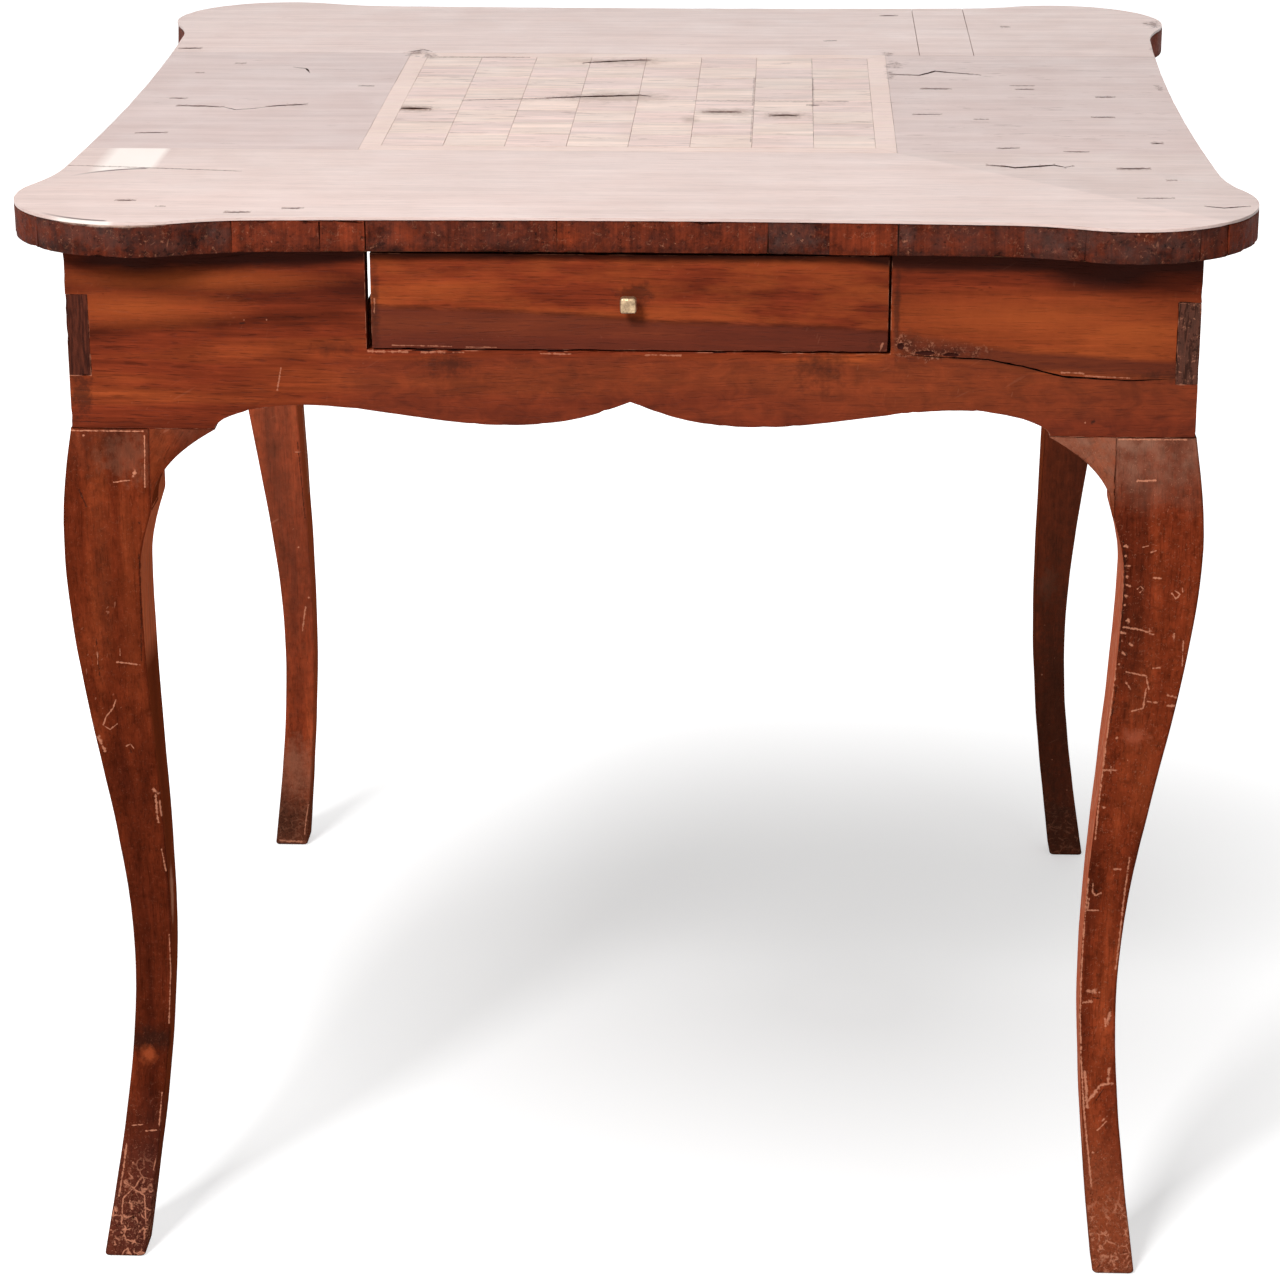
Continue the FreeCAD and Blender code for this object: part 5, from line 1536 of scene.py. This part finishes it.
class CHESSTABLE_OT_knob(bpy.types.Operator):
    """Square brass knob with its neck, stem and nut"""
    bl_idname = "chess_table.knob"
    bl_label = "Knob"

    def execute(self, context):
        brass = brass_finish(settings()[1])
        low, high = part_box("knob")
        centre = (low + high) / 2
        side = high.x - low.x
        head_depth, neck_start = 0.008, 0.0075
        mesh = bmesh.new()
        head = bmesh.ops.create_cube(mesh, size=1.0)["verts"]
        bmesh.ops.scale(mesh, vec=(side, head_depth, side), verts=head)
        bmesh.ops.translate(mesh, vec=(centre.x, low.y + head_depth / 2, centre.z), verts=head)
        bmesh.ops.bevel(mesh, geom=list(mesh.edges), offset=0.0022, segments=4, **BEVEL)
        along = Euler((math.pi / 2, 0, 0)).to_matrix().to_4x4()
        for start, end, radius_start, radius_end in (
                (low.y + neck_start, APRON_FRONT, 0.0030, 0.0034), (APRON_FRONT, high.y, 0.002, 0.002)):
            place = Matrix.Translation((centre.x, (start + end) / 2, centre.z)) @ along
            bmesh.ops.create_cone(mesh, cap_ends=True, segments=32, radius1=radius_end,
                                  radius2=radius_start, depth=end - start, matrix=place)
        for vert in mesh.verts:
            if vert.co.y < APRON_FRONT - 0.005:
                vert.co += Vector((1, 0, 1)) * 0.0004 * noise.noise(vert.co * 150)
        finish_piece(as_object("knob_worn", mesh, [brass]), "knob")
        finish_piece(worn_object("knob_nut", [brass], 0.0004, 0.003, "veneer"), "knob_nut")
        return {"FINISHED"}


class CHESSTABLE_OT_inner(bpy.types.Operator):
    """Core boards, runners, guides, stops and glue blocks"""
    bl_idname = "chess_table.inner"
    bl_label = "Inner parts"

    def execute(self, context):
        rows = (("top_board_front", ALONG_X, 0.6), ("top_board_middle", ALONG_X, 0.7),
                ("top_board_back", ALONG_X, 0.65),
                ("drawer_runner_left", ALONG_Y, 0.9), ("drawer_runner_right", ALONG_Y, 0.85),
                ("drawer_guide_left", ALONG_Y, 1.0), ("drawer_guide_right", ALONG_Y, 0.95),
                ("drawer_stops", ALONG_Y, 1.0), ("glue_blocks", ALONG_X, 0.9))
        for number, (node, turn, tone) in enumerate(rows):
            plain_piece(node, turn, tone, number * 2.0)
        return {"FINISHED"}


class CHESSTABLE_OT_stage(bpy.types.Operator):
    """Pale floor, soft studio light and the camera"""
    bl_idname = "chess_table.stage"
    bl_label = "Stage"

    def execute(self, context):
        scene = context.scene
        stage = scene.chess_table_stage
        mesh = bmesh.new()
        bmesh.ops.create_grid(mesh, x_segments=1, y_segments=1, size=30.0)
        floor = as_object("floor", mesh, [self.floor_finish(stage)])
        self.lamp("overhead", (-0.3, -0.5, 3.0), 1.8, stage.overhead_power)
        self.lamp("front", (-1.3, -2.9, 3.0), 1.0, stage.front_power)
        self.lamp("back", (0.2, 2.6, 1.9), 2.4, stage.back_power)
        self.lamp("fill", (2.2, -3.0, 0.9), 2.0, stage.fill_power)
        self.surround(scene, stage)
        camera = bpy.data.objects.new("camera", bpy.data.cameras.new("camera"))
        scene.collection.objects.link(camera)
        turn = Euler((stage.camera_tilt, 0, stage.camera_turn)).to_matrix()
        roll = Matrix.Rotation(stage.camera_roll, 3, "Z")
        camera.matrix_world = Matrix.Translation(stage.camera_place) @ (turn @ roll).to_4x4()
        camera.data.lens = stage.lens
        camera.data.sensor_width = 36.0
        camera.data.clip_end = 100.0
        scene.camera = camera
        scene.view_settings.view_transform = "Standard"
        return {"FINISHED"}

    def lamp(self, name, place, size, power):
        """A square soft light that faces the middle of the table."""
        data = bpy.data.lights.new(name, "AREA")
        data.size = size
        data.energy = power
        lamp = bpy.data.objects.new(name, data)
        lamp.location = place
        lamp.rotation_euler = (Vector(place) - Vector((0, 0, 0.5))).to_track_quat("Z", "Y").to_euler()
        bpy.context.scene.collection.objects.link(lamp)

    def seen(self, tree):
        """1 for rays from the camera or by way of a reflection or glass."""
        return most(*(put("ShaderNodeLightPath", {}, "Is %s Ray" % kind, tree)
                      for kind in ("Camera", "Glossy", "Transmission")))

    def floor_finish(self, stage):
        material = bpy.data.materials.new("floor_paint")
        material.use_nodes = True
        tree = material.node_tree
        tree.nodes.clear()
        seen = self.seen(tree)
        paint = put("ShaderNodeBsdfDiffuse", {"Color": blend(seen, (0.4, 0.4, 0.4), (0.8, 0.8, 0.8))})
        place = put("ShaderNodeTexCoord", {}, "Object", tree)
        # the floor's glow is dimmer round the table: a painted shadow under it
        middle = place.vector("SUBTRACT", (0.17, 0.06, 0.0))
        away = middle.stretch(0.85, 1.0, 1.0).vector("MAXIMUM", middle.stretch(1.15, 1.12, 1.0))
        away = away.vector("LENGTH", out=1)
        glow_dimmed_by_painted_shadow = away.ramp(0.05, 0.36, 0.5 * stage.floor_glow, stage.floor_glow)
        glow_with_painted_shadow = away.ramp(0.36, 1.0, stage.floor_glow, 1.0) * (glow_dimmed_by_painted_shadow / stage.floor_glow)
        glow = put("ShaderNodeEmission", {"Strength": seen * glow_with_painted_shadow})
        both = put("ShaderNodeAddShader", {0: paint, 1: glow})
        feed(tree.nodes.new("ShaderNodeOutputMaterial").inputs[0], both)
        return material

    def surround(self, scene, stage):
        world = bpy.data.worlds.new("surround")
        world.use_nodes = True
        scene.world = world
        background = world.node_tree.nodes["Background"]
        feed(background.inputs["Strength"], self.seen(world.node_tree).spread(stage.surround, 1.0))
        feed(background.inputs["Color"], (1.0, 1.0, 1.0))


class CHESSTABLE_PT_panel(bpy.types.Panel):
    """Sizes, colours and the steps that make the table"""
    bl_idname = "CHESSTABLE_PT_panel"
    bl_label = "Chess table"
    bl_space_type = "VIEW_3D"
    bl_region_type = "UI"
    bl_category = "Chess table"

    def draw(self, context):
        layout = self.layout
        for operator in OPERATORS:
            layout.operator(operator.bl_idname)
        for group in (context.scene.chess_table_sizes, context.scene.chess_table_colours,
                      context.scene.chess_table_stage):
            box = layout.box()
            for name in group.bl_rna.properties.keys():
                if name not in ("rna_type", "name"):
                    box.prop(group, name)


OPERATORS = (CHESSTABLE_OT_stage, CHESSTABLE_OT_top, CHESSTABLE_OT_banding, CHESSTABLE_OT_aprons,
             CHESSTABLE_OT_legs, CHESSTABLE_OT_brackets, CHESSTABLE_OT_drawer, CHESSTABLE_OT_knob,
             CHESSTABLE_OT_inner)
CLASSES = (ChessTableSizes, ChessTableColours, ChessTableStage) + OPERATORS + (CHESSTABLE_PT_panel,)


def register():
    for one in CLASSES:
        bpy.utils.register_class(one)
    bpy.types.Scene.chess_table_sizes = PointerProperty(type=ChessTableSizes)
    bpy.types.Scene.chess_table_colours = PointerProperty(type=ChessTableColours)
    bpy.types.Scene.chess_table_stage = PointerProperty(type=ChessTableStage)


def unregister():
    del bpy.types.Scene.chess_table_stage
    del bpy.types.Scene.chess_table_colours
    del bpy.types.Scene.chess_table_sizes
    for one in reversed(CLASSES):
        bpy.utils.unregister_class(one)


def main():
    register()
    build_groups()
    for operator in OPERATORS:
        family, name = operator.bl_idname.split(".")
        result = getattr(getattr(bpy.ops, family), name)()
        if result != {"FINISHED"}:
            raise RuntimeError("%s did not finish" % operator.bl_label)


if __name__ == "__main__":
    main()
